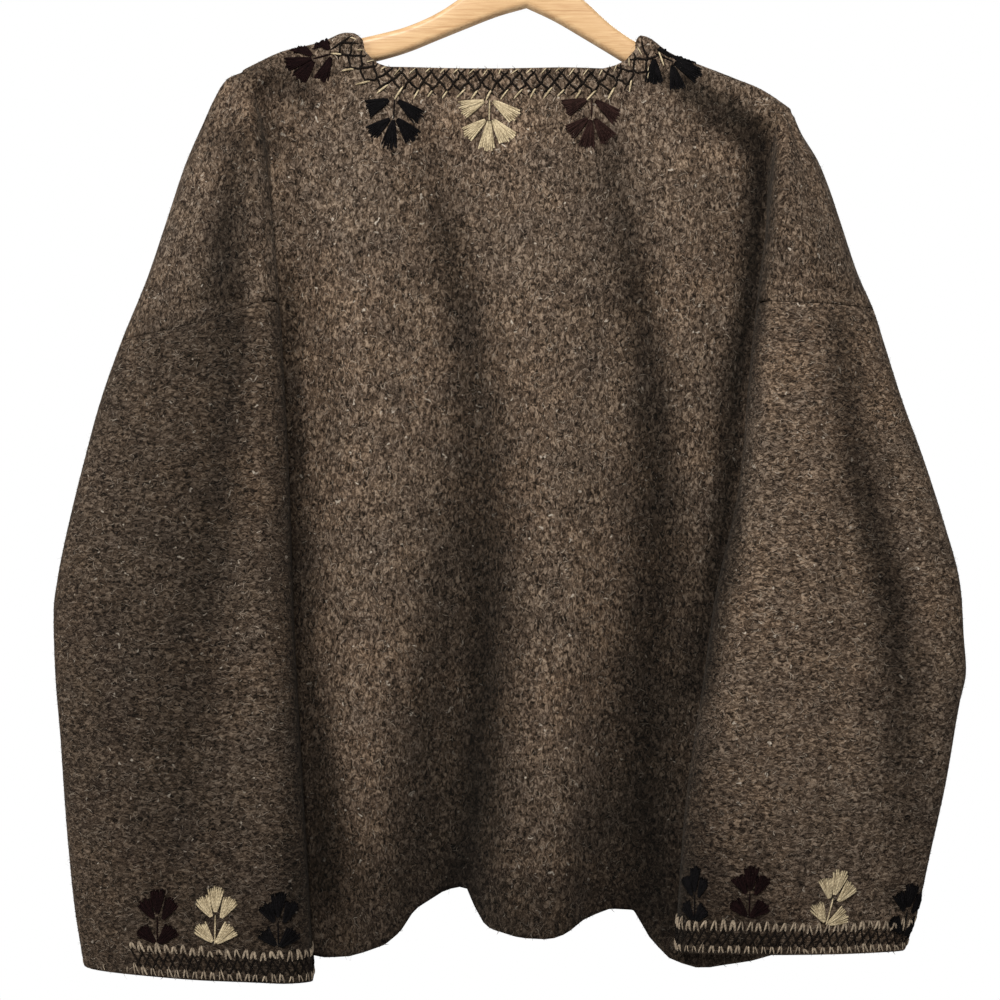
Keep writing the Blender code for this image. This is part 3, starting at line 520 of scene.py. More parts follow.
def back_row(t, low):
    """One row of the back between its underarm columns; the neck's part is None over the arms."""
    share_y = over_arm(t)[1]
    left_end, left_y = panel_end(LEFT, t, low, share_y, -1.0)
    right_end, right_y = panel_end(RIGHT, t, low, share_y, -1.0)
    marks = (left_end[-1, 0], neck_x(NECK_LEFT, t), neck_x(NECK_RIGHT, t), right_end[-1, 0])
    tops = (LEFT["top_x"] + EDGE_STEPS[-1], marks[1] if t < 0 else NECK_LEFT[1],
            marks[2] if t < 0 else NECK_RIGHT[1], RIGHT["top_x"] - EDGE_STEPS[-1])
    shares = ((0, 0), (3, 3), (0, 0))
    runs = [left_end]
    for k in range(3):
        if k == 1 and t < 0.0:
            runs.append([None] * (BACK_COLUMNS[1] + 1))
            continue
        s = np.linspace(0.0, 1.0, RUN_POINTS)
        x = marks[k] + (marks[k + 1] - marks[k]) * s
        x_top = tops[k] + (tops[k + 1] - tops[k]) * s
        neck = table(BACK_NECK, x_top) if k == 1 else None
        under = under_height(x)
        row = body_run(x, x_top, t, low, under, lambda v: table(BACK_HEM, v), back_depth, share_y, -1.0, neck)
        if k == 0:
            row[:, 1] = lead(LEFT, x, row[:, 1], left_end[-1, 0], left_y, 45.0)
            row[:, 2] += (left_end[-1, 2] - row[0, 2]) * ease(1.0 - s)
        if k == 2:
            row[:, 1] = lead(RIGHT, x, row[:, 1], right_end[-1, 0], right_y, 45.0)
            row[:, 2] += (right_end[-1, 2] - row[-1, 2]) * ease(s)
        runs.append(spread(row, BACK_COLUMNS[k], shares[k]))
    runs.append(right_end[::-1])
    out = list(runs[0])
    for k, run in enumerate(runs[1:]):
        if k == 2 and t < 0.0:
            out[-1] = run[0]
        out += list(run)[1:]
    return out


def front_row(side, t, low):
    """One row of a front panel, from its open edge to the underarm column."""
    share_y = over_arm(t)[1]
    outward = -side["inward"]
    neck_mark = neck_x(NECK_LEFT if side is LEFT else NECK_RIGHT, t)
    neck_top = neck_mark if t < 0 else (NECK_LEFT[1] if side is LEFT else NECK_RIGHT[1])
    end, y0 = panel_end(side, t, low, share_y, 1.0)
    progress = max(t, 0.0) * 0.4 if low is None else 0.4 + low * 0.6
    edge = MIDDLE_X + outward * (5.0 + 10.0 * progress)
    marks = (edge, neck_mark, end[-1, 0])
    tops = (MIDDLE_X + outward * 5.0, neck_top, side["top_x"] + side["inward"] * EDGE_STEPS[-1])
    out = []
    for k in range(2):
        if k == 0 and t < 0.0:
            out += [None] * FRONT_COLUMNS[0]
            continue
        s = np.linspace(0.0, 1.0, RUN_POINTS)
        x = marks[k] + (marks[k + 1] - marks[k]) * s
        x_top = tops[k] + (tops[k + 1] - tops[k]) * s
        neck = table(FRONT_NECK, np.abs(x_top - MIDDLE_X)) if k == 0 else None
        under = under_height(x)
        row = body_run(x, x_top, t, low, under, lambda v: table(FRONT_HEM, np.abs(v - MIDDLE_X)), front_depth,
                       share_y, 1.0, neck)
        row[:, 1] = lead(side, x, row[:, 1], end[-1, 0], y0, 60.0)
        if k == 1:
            row[:, 2] += (end[-1, 2] - row[-1, 2]) * ease(s)
        part = list(spread(row, FRONT_COLUMNS[k], ((1, 2), (0, 0))[k]))
        out += part if not out or k == 0 or t < 0.0 else part[1:]
    return out + list(end[::-1][1:])


def back_cells():
    """The back panel: shoulder parts on both sides down to the armholes, the body down to the hem."""
    cells = []
    for t in TOP_ROWS:
        t_in = t if t < 1.0 else 1.0 - SEAM_SLACK / 220.0
        left = near_row(LEFT, t_in, NEAR_STEPS)[::-1]
        right = near_row(RIGHT, t_in, NEAR_STEPS)
        cells.append(list(left[:-1]) + back_row(t, None) + list(right[1:]))
    blank = [None] * (len(NEAR_STEPS) - 1)
    for low in LOW_ROWS:
        cells.append(blank + back_row(1.0, low) + blank)
    return cells


def front_cells(side):
    """A front panel: its open edge first, the shoulder part last."""
    cells = []
    for t in TOP_ROWS:
        t_in = t if t < 1.0 else 1.0 - SEAM_SLACK / 220.0
        wing = far_row(side, t_in, FAR_STEPS)[::-1]
        cells.append(front_row(side, t, None) + list(wing[1:]))
    blank = [None] * (len(FAR_STEPS) - 1)
    for low in LOW_ROWS:
        cells.append(front_row(side, 1.0, low) + blank)
    return cells


def sleeve_cells(side):
    """A sleeve as a tube: near layer, far layer and back to the underarm."""
    cells = []
    for t in SLEEVE_ROWS:
        t_in = max(t, 1.0 + SEAM_SLACK / 430.0)
        near = near_row(side, t_in, NEAR_STEPS)
        far = far_row(side, t_in, FAR_STEPS)
        near[0] = far[-1] = 0.5 * (near[0] + far[-1])
        cells.append(list(near) + list(far[1:]))
    return cells


def from_stroke(x0, z0, x1, z1, x, z):
    """Share of the way along a stroke and distance from it, at points."""
    dx, dz = x1 - x0, z1 - z0
    s = np.clip(((x - x0) * dx + (z - z0) * dz) / (dx * dx + dz * dz), 0.0, 1.0)
    return s, np.hypot(x - x0 - s * dx, z - z0 - s * dz)


def dent(rows, x, z):
    """Summed depth of the creases at points."""
    total = 0.0
    for *stroke, wide, deep in rows:
        away = from_stroke(*stroke, x, z)[1]
        total = total + deep * np.exp(-(away / wide) ** 2)
    wave = np.sin(x / 13.0 + z / 47.0 + 0.6) * np.sin(z / 31.0 - x / 61.0 + 1.9)
    ripple = np.sin(x / 5.9 + z / 17.0) * np.sin(z / 9.5 - x / 14.0 + 0.8)
    return total + 0.55 * wave + 0.16 * ripple


def painted_shade_share(chains, x, z):
    """Share of painted shade at points, from the chains in the hollows between folds and over the shaded
    parts, 0 to 1.
    """
    clear = 1.0
    for chain in chains:
        deepest = 0.0
        for (x0, z0, w0, d0), (x1, z1, w1, d1) in zip(chain[:-1], chain[1:]):
            s, away = from_stroke(x0, z0, x1, z1, x, z)
            reach = np.exp(-(away / (w0 + (w1 - w0) * s)) ** 2)
            deepest = np.maximum(deepest, (d0 + (d1 - d0) * s) * reach)
        clear = clear * (1.0 - deepest)
    return 1.0 - clear


def shade(name, grid):
    """The painted shade on a panel's grid: layers seen from the back take the back's chains, the others the
    front's.
    """
    x, z = grid[..., 0], grid[..., 2]
    near, far = painted_shade_share(BACK_PAINTED_SHADE, x, z), painted_shade_share(FRONT_PAINTED_SHADE, x, z)
    if name == "back":
        return near
    if "front" in name:
        return far
    return np.where(np.arange(grid.shape[1]) < len(NEAR_STEPS), near, far)


def points(cells):
    """A grid as an array, rows by columns by x, y, z; None becomes not-a-number."""
    empty = (np.nan,) * 3
    return np.array([[empty if p is None else tuple(p) for p in row] for row in cells])


def soften(grid, sign, mask):
    """Adds the creases to a grid: sign -1 on layers seen from the back, 1 on the front's."""
    x, z = grid[..., 0], grid[..., 2]
    rows = BACK_CREASES if sign < 0 else FRONT_CREASES
    clear = ease((ridge(x) - z - 31.0) / 16.0)
    clear = np.where((x > -222.0) & (x < 172.0), clear, ease((ridge(x) - z - 12.0) / 20.0))
    grid[..., 1] -= sign * dent(rows, x, z) * mask * clear
    return grid


# Where the creases fade out along a sleeve's layers
NEAR_MASK = ease((NEAR_STEPS - 18.0) / 18.0) * ease((164.0 - NEAR_STEPS) / 16.0)
FAR_MASK = ease(FAR_STEPS / 18.0) * ease((140.0 - FAR_STEPS) / 22.0)


def panel_grids():
    """The five panels as fine grids."""
    grids = {}
    back = points(back_cells())
    wide = back.shape[1]
    wing = NEAR_MASK[:-1]
    mask = np.ones(wide)
    mask[:len(wing)] = wing[::-1]
    mask[-len(wing):] = wing
    rows = np.ones((back.shape[0], 1)) * mask
    low = len(TOP_ROWS)
    inner = np.arange(wide) - len(wing)
    edge = np.minimum(inner, wide - 2 * len(wing) - 1 - inner)
    body = ease(edge / 7.0)
    rows[low:] = body
    rows[:low] = rows[:low] * np.where(edge >= 0, body, 1.0)
    grids["back"] = soften(back, -1.0, rows)
    for name, side in (("left", LEFT), ("right", RIGHT)):
        front = points(front_cells(side))
        wing = FAR_MASK[::-1][1:]
        mask = np.ones(front.shape[1])
        mask[-len(wing):] = wing
        body = ease((front.shape[1] - len(wing) - 1 - np.arange(front.shape[1])) / 7.0)
        mask[:-len(wing)] = body[:-len(wing)]
        grids["front_" + name] = soften(front, 1.0, mask[None, :])
        sleeve = points(sleeve_cells(side))
        n = len(NEAR_STEPS)
        sleeve[:, :n] = soften(sleeve[:, :n], -1.0, NEAR_MASK[None, :])
        sleeve[:, n:] = soften(sleeve[:, n:], 1.0, FAR_MASK[None, 1:])
        grids["sleeve_" + name] = sleeve
    return grids


def normals(grid, flip):
    """Unit normals of a grid's points, outwards."""
    filled = grid.copy()
    for r in range(filled.shape[0] - 2, -1, -1):
        gone = np.isnan(filled[r, :, 0])
        filled[r, gone] = filled[r + 1, gone] + (0.0, 0.0, 1.0)
    for r in range(1, filled.shape[0]):
        gone = np.isnan(filled[r, :, 0])
        filled[r, gone] = filled[r - 1, gone] - (0.0, 0.0, 1.0)
    across = np.gradient(filled, axis=1)
    down = np.gradient(filled, axis=0)
    n = np.cross(across, down)
    n /= np.linalg.norm(n, axis=2)[..., None] + 1e-9
    return n if flip else -n


def link(name, verts, faces, mats, index=None, smooth=True):
    mesh = bpy.data.meshes.new(name)
    mesh.from_pydata(verts, [], faces)
    for mat in mats:
        mesh.materials.append(mat)
    if index is not None:
        mesh.polygons.foreach_set("material_index", index)
    mesh.polygons.foreach_set("use_smooth", np.full(len(mesh.polygons), smooth))
    mesh.update()
    obj = bpy.data.objects.new(name, mesh)
    bpy.context.scene.collection.objects.link(obj)
    return obj


def mark(obj, values):
    """Stores the share of painted shade on a mesh's points."""
    layer = obj.data.attributes.new("painted_shade_share", "FLOAT", "POINT")
    layer.data.foreach_set("value", np.asarray(values, np.float32))
    return obj


def shell(name, grid, flip, mat, tube, shade_shares):
    """A panel's cloth with its wall."""
    keep = ~np.isnan(grid[..., 0])
    index = np.cumsum(keep.ravel()).reshape(keep.shape) - 1
    if tube:
        keep[:, -1] = False
        index = np.cumsum(keep.ravel()).reshape(keep.shape) - 1
        index[:, -1] = index[:, 0]
        keep_face = np.ones_like(keep)
    else:
        keep_face = keep
    quad = np.stack([index[:-1, :-1], index[:-1, 1:], index[1:, 1:], index[1:, :-1]], axis=-1)
    whole = keep_face[:-1, :-1] & keep_face[:-1, 1:] & keep_face[1:, 1:] & keep_face[1:, :-1]
    faces = quad[whole]
    if flip:
        faces = faces[:, ::-1]
    # The cloth's points carry their share of painted shade.
    obj = mark(link(name, (grid[keep] * MM).tolist(), faces.tolist(), [mat]), shade_shares[keep])
    wall = obj.modifiers.new("wall", "SOLIDIFY")
    wall.thickness = WALL * MM
    wall.offset = 0.0
    wall.use_rim = True
    return obj


class Nodes:
    """Small builder of a material's node tree."""

    def __init__(self, name, rough, sheen=0.0, metal=0.0):
        self.mat = bpy.data.materials.new(name)
        self.mat.use_nodes = True
        self.tree = self.mat.node_tree
        self.bsdf = self.tree.nodes["Principled BSDF"]
        self.bsdf.inputs["Roughness"].default_value = rough
        self.bsdf.inputs["Metallic"].default_value = metal
        self.bsdf.inputs["Specular IOR Level"].default_value = 0.04
        if sheen:
            self.bsdf.inputs["Sheen Weight"].default_value = sheen
            self.bsdf.inputs["Sheen Roughness"].default_value = 0.6
            self.bsdf.inputs["Sheen Tint"].default_value = (0.9, 0.8, 0.68, 1.0)
        self.coord = self.tree.nodes.new("ShaderNodeTexCoord")

    def add(self, kind, **values):
        node = self.tree.nodes.new(kind)
        for key, value in values.items():
            if key in node.inputs:
                node.inputs[key].default_value = value
            else:
                setattr(node, key, value)
        return node

    def wire(self, source, node, into):
        self.tree.links.new(source, node.inputs[into])

    def place(self, scale=(1.0, 1.0, 1.0), turn=(0.0, 0.0, 0.0), source="Object"):
        node = self.add("ShaderNodeMapping", Scale=scale, Rotation=turn)
        self.wire(self.coord.outputs[source], node, "Vector")
        return node.outputs["Vector"]

    def noise(self, where, scale, detail=3.0, rough=0.6, warp=0.0):
        node = self.add("ShaderNodeTexNoise", Scale=scale, Detail=detail, Roughness=rough, Distortion=warp)
        self.wire(where, node, "Vector")
        return node.outputs["Fac"]

    def ramp(self, source, *stops):
        node = self.add("ShaderNodeValToRGB")
        self.wire(source, node, "Fac")
        band = node.color_ramp
        while len(band.elements) < len(stops):
            band.elements.new(0.5)
        for element, (at, colour) in zip(band.elements, stops):
            element.position = at
            element.color = (*colour, 1.0)
        return node.outputs["Color"]

    def mix(self, blend, factor, a, b):
        node = self.add("ShaderNodeMix", data_type="RGBA", blend_type=blend)
        if isinstance(factor, float):
            node.inputs[0].default_value = factor
        else:
            self.wire(factor, node, 0)
        self.wire(a, node, 6)
        self.wire(b, node, 7)
        return node.outputs[2]

    def painted_shade(self, colour):
        """Paints shade into a colour: darkens it by the share of painted shade stored on the mesh."""
        depth = self.add("ShaderNodeAttribute", attribute_name="painted_shade_share").outputs["Fac"]
        tone = self.ramp(depth, (0.0, grey(1.0)), (0.5, grey(0.36)), (1.0, grey(0.05)))
        return self.mix("MULTIPLY", 1.0, colour, tone)

    def bump(self, source, strength, distance, under=None):
        node = self.add("ShaderNodeBump", Strength=strength, Distance=distance)
        self.wire(source, node, "Height")
        if under is not None:
            self.wire(under, node, "Normal")
        return node.outputs["Normal"]

    def cover(self, colour, relief=None, rough=None):
        """Wires colour, relief and roughness into the surface and gives the material."""
        for source, into in ((colour, "Base Color"), (relief, "Normal"), (rough, "Roughness")):
            if source is not None:
                self.wire(source, self.bsdf, into)
        return self.mat


def grey(v):
    return (v, v, v)


def wool_material(name, stretch, lift):
    """Heathered felt: mottled browns, curled light and dark fibres, sparse cream flecks, with painted shade
    in the hollows. lift scales the brown tones.
    """
    n = Nodes(name, 0.95, sheen=0.02)
    flat = n.place()
    drawn = n.place(stretch)
    mottle = n.noise(drawn, 350.0, 2.5, 0.62, 0.9)
    patch = n.noise(flat, 46.0, 3.0, 0.6)
    broad = n.noise(flat, 9.0, 2.0, 0.5)
    dark, mid, light = [tuple(c * lift for c in tone) for tone in
                        ((0.0070, 0.0046, 0.0030), (0.060, 0.041, 0.0275), (0.190, 0.144, 0.105))]
    base = n.ramp(mottle, (0.36, dark), (0.51, mid), (0.68, light))
    tint = n.ramp(patch, (0.30, (0.74, 0.74, 0.76)), (0.70, (1.22, 1.17, 1.10)))
    first = n.mix("MULTIPLY", 0.9, base, tint)
    wide = n.ramp(broad, (0.35, (0.88, 0.90, 0.92)), (0.65, (1.12, 1.08, 1.04)))
    second = n.mix("MULTIPLY", 0.8, first, wide)
    warped = n.noise(drawn, 150.0, 2.0, 0.5, 3.5)
    threads = n.ramp(warped, (0.485, grey(0.0)), (0.50, grey(1.0)), (0.515, grey(0.0)))
    fine = n.noise(flat, 600.0, 2.0, 0.5)
    tone = n.ramp(fine, (0.40, tuple(c * 0.8 for c in dark)), (0.60, tuple(c * 1.25 for c in light)))
    part = n.add("ShaderNodeMath", operation="MULTIPLY")
    n.wire(threads, part, 0)
    part.inputs[1].default_value = 0.45
    third = n.mix("MIX", part.outputs[0], second, tone)
    speck = n.noise(flat, 240.0, 1.0, 0.4, 0.6)
    flecks = n.ramp(speck, (0.73, grey(0.0)), (0.77, grey(1.0)))
    cream = n.ramp(fine, (0.3, (0.17, 0.14, 0.11)), (0.7, (0.34, 0.29, 0.23)))
    # Painted shade: the colour darkens where the mesh stores a share of shade.
    last = n.painted_shade(n.mix("MIX", flecks, third, cream))
    fuzz = n.bump(mottle, 0.9, 0.0011, n.bump(patch, 0.35, 0.0012))
    return n.cover(last, n.bump(fine, 0.5, 0.0005, fuzz))


def yarn_material(name, dark, light, sheen=0.0):
    """Plied embroidery wool: twist along the strand, uneven tone."""
    n = Nodes(name, 0.85, sheen=sheen)
    twist = n.add("ShaderNodeTexWave", Scale=0.55, Distortion=1.6, Detail=2.0, bands_direction="DIAGONAL")
    n.wire(n.place(source="UV"), twist, "Vector")
    twist = twist.outputs["Fac"]
    uneven = n.noise(n.place((0.30, 0.9, 1.0), source="UV"), 1.0, 3.0, 0.65, 0.3)
    tone = n.ramp(uneven, (0.34, dark), (0.64, light))
    plies = n.ramp(twist, (0.0, grey(0.84)), (0.6, grey(1.04)))
    relief = n.bump(uneven, 0.4, 0.0003, n.bump(twist, 0.5, 0.0004))
    return n.cover(n.mix("MULTIPLY", 0.9, tone, plies), relief)


def fibre_material(name, dark, light):
    """Loose fibres of one tone, with painted shade in the hollows."""
    n = Nodes(name, 0.9, sheen=0.02)
    uneven = n.noise(n.place(), 130.0, 2.0, 0.6)
    return n.cover(n.painted_shade(n.ramp(uneven, (0.35, dark), (0.65, light))))


def wood_material():
    """Pale lacquered wood, its grain along the bar."""
    n = Nodes("wood_grain", 0.5)
    n.bsdf.inputs["Specular IOR Level"].default_value = 0.25
    tilt = (0.0, -LEAN, 0.0)
    grain = n.noise(n.place((5.0, 60.0, 60.0), tilt), 6.0, 5.0, 0.62, 0.6)
    fine = n.noise(n.place((16.0, 700.0, 700.0), tilt), 2.2, 2.0, 0.5)
    dark, mid, light = (0.32, 0.185, 0.085), (0.395, 0.25, 0.125), (0.44, 0.295, 0.155)
    base = n.ramp(grain, (0.30, dark), (0.50, mid), (0.72, light))
    lines = n.ramp(fine, (0.36, (0.80, 0.74, 0.68)), (0.50, (1.0, 1.0, 1.0)))
    worn = n.ramp(grain, (0.3, grey(0.50)), (0.7, grey(0.36)))
    return n.cover(n.mix("MULTIPLY", 0.7, base, lines), n.bump(fine, 0.15, 0.0002), worn)


def steel_material():
    """Plated wire with faint drawing marks."""
    n = Nodes("steel_wire", 0.28, metal=1.0)
    fine = n.noise(n.place(), 900.0, 2.0, 0.5)
    tone = n.ramp(fine, (0.3, (0.50, 0.51, 0.53)), (0.7, (0.62, 0.63, 0.65)))
    worn = n.ramp(fine, (0.3, grey(0.34)), (0.7, grey(0.22)))
    return n.cover(tone, n.bump(fine, 0.08, 0.0001), worn)


# Fibres: thin ribbons lying on the cloth, their ends lifting
def fibres(name, grid, outward, shade_shares, count, mats, shares, lean_to, mess, length, width, lift):
    """Ribbons on a grid's outer face. lean_to turns them from the row's direction, mess scatters them."""
    centre = 0.25 * (grid[:-1, :-1] + grid[1:, :-1] + grid[:-1, 1:] + grid[1:, 1:])
    across = grid[:-1, 1:] - grid[:-1, :-1]
    down = grid[1:, :-1] - grid[:-1, :-1]
    area = np.linalg.norm(np.cross(across, down), axis=2)
    ok = ~np.isnan(area) & ~np.isnan(centre[..., 0])
    weight = np.where(ok, area, 0.0)
    flat = weight.ravel()
    pick = rng.choice(len(flat), count, p=flat / flat.sum())
    r, c = np.unravel_index(pick, weight.shape)
    u, v = rng.random((2, count, 1))
    base = grid[r, c] + across[r, c] * u + down[r, c] * v
    normal = outward[r, c]
    east = across[r, c] / np.linalg.norm(across[r, c], axis=1)[:, None]
    south = np.cross(normal, east)
    turn = lean_to + rng.normal(0.0, mess, (count, 1))
    way = np.cos(turn) * east + np.sin(turn) * south
    side = np.cross(way, normal)
    long = length * rng.uniform(0.5, 1.3, (count, 1))
    bend = rng.normal(0.0, 0.22, (count, 1)) * long
    wide = width * rng.uniform(0.6, 1.2, (count, 1))
    rise = lift * rng.random((count, 1)) ** 2
    tilt = rng.normal(0.0, 0.25, (count, 1)) * rise
    verts = []
    for s in (-0.5, -0.17, 0.17, 0.5):
        at = (base + way * long * s + side * bend * (2.0 * s) ** 2
              + normal * (WALL / 2 + 0.12 + rise * (2.0 * s) ** 2 + tilt * s))
        half = side * wide * (0.5 if abs(s) < 0.3 else 0.18)
        verts += [at - half, at + half]
    verts = np.stack(verts, axis=1).reshape(-1, 3)
    first = (np.arange(count) * 8)[:, None, None]
    quad = np.array([[0, 1, 3, 2], [2, 3, 5, 4], [4, 5, 7, 6]])[None]
    faces = (first + quad).reshape(-1, 4)
    which = np.repeat(rng.choice(len(mats), count, p=shares), 3)
    obj = link(name, (verts * MM).tolist(), faces.tolist(), mats, which.astype(np.int32))
    # Painted shade: each fibre takes the share of shade of the cloth under its foot.
    return mark(obj, np.repeat(np.nan_to_num(shade_shares[r, c]), 8))


# Yarn: flattened strands that lie on the cloth
class Yarn:
    """Collects strands and turns them into one mesh."""

    def __init__(self):
        self.verts = []
        self.faces = []
        self.uv = []
        self.count = 0

    def strand(self, path, up, radius, arch=0.0, flat=0.8, taper=0.55):
        """A strand along points with their outward directions; arch lifts its middle."""
        path = np.asarray(path, float)
        up = np.asarray(up, float)
        n = len(path)
        s = np.linspace(0.0, 1.0, n)
        way = np.gradient(path, axis=0)
        way /= np.linalg.norm(way, axis=1)[:, None] + 1e-9
        side = np.cross(way, up)
        side /= np.linalg.norm(side, axis=1)[:, None] + 1e-9
        body = 1.0 - (1.0 - taper) * np.abs(2.0 * s - 1.0) ** 4
        swell = np.sin(math.pi * s)
        height = radius * flat * 0.55 + arch * swell - radius * 0.5 * (1.0 - swell) ** 2
        centre = path + up * height[:, None]
        around = 6
        run = np.r_[0.0, np.cumsum(np.linalg.norm(np.diff(path, axis=0), axis=1))] + rng.uniform(0.0, 90.0)
        own = float(rng.integers(0, 400))
        for k in range(around):
            a = 2.0 * math.pi * k / around
            ring = (side * math.cos(a) + up * math.sin(a) * flat) * (radius * body)[:, None]
            self.verts.append(centre + ring)
        base = self.count
        for k in range(around):
            one, two = base + k * n, base + (k + 1) % around * n
            for i in range(n - 1):
                self.faces.append((one + i, one + i + 1, two + i + 1, two + i))
                u0, u1 = run[i] / 2.2, run[i + 1] / 2.2
                v0, v1 = own + k / around, own + (k + 1) / around
                self.uv += [(u0, v0), (u1, v0), (u1, v1), (u0, v1)]
        for i in (0, n - 1):
            cap = [base + k * n + i for k in range(around)]
            self.faces.append(cap if i else cap[::-1])
            self.uv += [(run[i] / 2.2, own)] * around
        self.count += around * n

    def make(self, name, mat):
        obj = link(name, (np.vstack(self.verts) * MM).tolist(), self.faces, [mat])
        layer = obj.data.uv_layers.new(name="UVMap")
        layer.data.foreach_set("uv", np.array(self.uv).ravel())
        return obj


class Face:
    """The cloth's outer faces as seen from the back (sign -1) or from the front (sign 1)."""

    def __init__(self, objs, sign):
        self.sign = sign
        deps = bpy.context.evaluated_depsgraph_get()
        verts = []
        tris = []
        for obj in objs:
            mesh = obj.evaluated_get(deps).to_mesh()
            first = len(verts)
            verts += [v.co / MM for v in mesh.vertices]
            tris += [tuple(first + i for i in p.vertices) for p in mesh.polygons]
        self.tree = BVHTree.FromPolygons(verts, tris)

    def at(self, x, z):
        """Point and outward direction at x and height."""
        inward = Vector((0.0, -self.sign, 0.0))
        hit, normal, _, _ = self.tree.ray_cast(Vector((x, 300.0 * self.sign, z)), inward)
        if hit is None:
            hit, normal, _, _ = self.tree.find_nearest(Vector((x, 20.0 * self.sign, z)))
        normal = Vector(normal)
        if normal.y * self.sign < 0.0:
            normal = -normal
        return np.array(hit), np.array(normal)

    def path(self, start, stop, n=6):
        (x0, z0), (x1, z1) = start, stop
        return self.trace([(x0 + (x1 - x0) * k, z0 + (z1 - z0) * k) for k in np.linspace(0.0, 1.0, n)])

    def trace(self, spots):
        got = [self.at(x, z) for x, z in spots]
        up = np.mean([g[1] for g in got], axis=0)
        up = np.array([0.4 * g[1] + 0.6 * up for g in got])
        return np.array([g[0] for g in got]), up / np.linalg.norm(up, axis=1)[:, None]


# A flower's petals: x and height of the petal's foot, direction in degrees, length, outer width,
# how much its side threads fall short
CUFF_FLOWER = (
    (0.2, 23.2, 88, 19.4, 10, 0.07), (-2.8, 19.8, 118, 16.2, 9.8, 0.09), (4.4, 19, 64, 17.2, 9.2, 0.08),
    (-1.8, 1.8, 132, 15.8, 9.8, 0.09), (1.2, 0.8, 44, 16.6, 11.2, 0.08),
)
NECK_FLOWER = (
    (-4.2, -1.2, 203, 18.6, 11.6, 0.05), (2.6, -1.4, -37, 22.2, 10, 0.05),
    (-3.4, -15.4, 218, 19.4, 9.8, 0.06), (-0.8, -16.2, 262, 22.2, 10, 0.05), (2, -15.4, -53, 20, 12, 0.06),
)
# Flowers: x and height of the foot, form, tilt in degrees, size, breadth, colour
BACK_FLOWERS = (
    (-105.6, -161, "neck", 0, 1, 1, "black"),
    (-34.7, -161, "neck", -1, 1, 1.02, "cream"),
    (41.5, -161, "neck", 0, 0.98, 1, "brown"),
    (-152.5, -127, "neck", 74, 0.95, 0.9, "maroon"),
    (88.5, -126.5, "neck", -68, 1, 1, "black"),
)
LEFT_FLOWERS = (
    (-277.5, -785, "cuff", 0, 0.98, 0.98, "maroon"),
    (-235, -784, "cuff", 1, 1.02, 1, "cream"),
    (-188.5, -786.5, "cuff", -1, 0.96, 1, "black"),
)
RIGHT_FLOWERS = (
    (115.2, -768, "cuff", 0, 0.96, 0.60, "black"),
    (154, -764, "cuff", 2, 0.90, 1.05, "maroon"),
    (211.4, -770.5, "cuff", 15, 0.98, 1, "cream"),
    (270, -782, "cuff", 10, 0.95, 0.95, "black"),
)
FRONT_FLOWERS_LEFT = (
    (-306, -780, "cuff", -3, 1, 1, "cream"),
    (-266, -783, "cuff", 0, 1, 1, "black"),
)
FRONT_FLOWERS_RIGHT = (
    (259, -764, "cuff", 6, 1, 1, "cream"),
    (224, -768, "cuff", 0, 1, 1, "black"),
)
FRONT_NECK_FLOWERS = (
    (-136, -196, "neck", 48, 0.9, 1, "cream"),
    (-88, -240, "neck", 26, 0.9, 1, "black"),
    (75, -196, "neck", -48, 0.9, 1, "cream"),
    (27, -240, "neck", -26, 0.9, 1, "black"),
)


def flower(yarn, face, x, z, form, tilt, size, breadth):
    """Satin-stitch petals of long threads side by side, and a stem."""
    petals = CUFF_FLOWER if form == "cuff" else NECK_FLOWER
    turn = math.radians(tilt)
    co, si = math.cos(turn), math.sin(turn)

    def spot(px, pz):
        px, pz = px * size * breadth, pz * size
        return x + px * co + pz * si, z + pz * co - px * si

    stem = (0.0, 21.0) if form == "cuff" else (-0.6, -15.5)
    yarn.strand(*face.path(spot(0.0, 0.0), spot(*stem), 8), 0.62, arch=0.1)
    for px, pz, heading, long, wide, short in petals:
        a = math.radians(heading + rng.normal(0.0, 2.0))
        ax, az = math.cos(a), math.sin(a)
        count = max(6, int(round(wide / 1.2)))
        for k in range(count):
            s = 2.0 * k / (count - 1) - 1.0
            reach = long * (1.0 - short * s * s) * rng.uniform(0.90, 1.03)
            off = 0.54 * wide * s + rng.normal(0.0, 0.12)
            spots = []
            for u in np.linspace(0.0, 1.0, 8):
                spread = 0.12 + 0.92 * u ** 0.92
                far, wide_off = reach * u, off * spread
                spots.append(spot(px + ax * far - az * wide_off, pz + az * far + ax * wide_off))
            arch = 0.25 + 0.5 * (1.0 - 0.6 * s * s) * rng.random()
            yarn.strand(*face.trace(spots), 0.76 * rng.uniform(0.9, 1.15), arch=arch, flat=0.9, taper=0.85)


# Distance from stitch to stitch, and the x where the left cuff's band ends
NECK_PITCH = 11.0
CUFF_PITCH = 6.4
LEFT_BARE_X = -297.0


def along(line_points, pitch):
    """Even steps along a polyline: points and unit directions."""
    line_points = np.asarray(line_points, float)
    d = np.linalg.norm(np.diff(line_points, axis=0), axis=1)
    run = np.r_[0.0, np.cumsum(d)]
    n = max(2, int(round(run[-1] / pitch)))
    at = np.linspace(0.0, run[-1], n + 1)
    pos = np.stack([np.interp(at, run, line_points[:, k]) for k in range(2)], axis=1)
    way = np.gradient(pos, axis=0)
    way /= np.linalg.norm(way, axis=1)[:, None]
    return pos, way


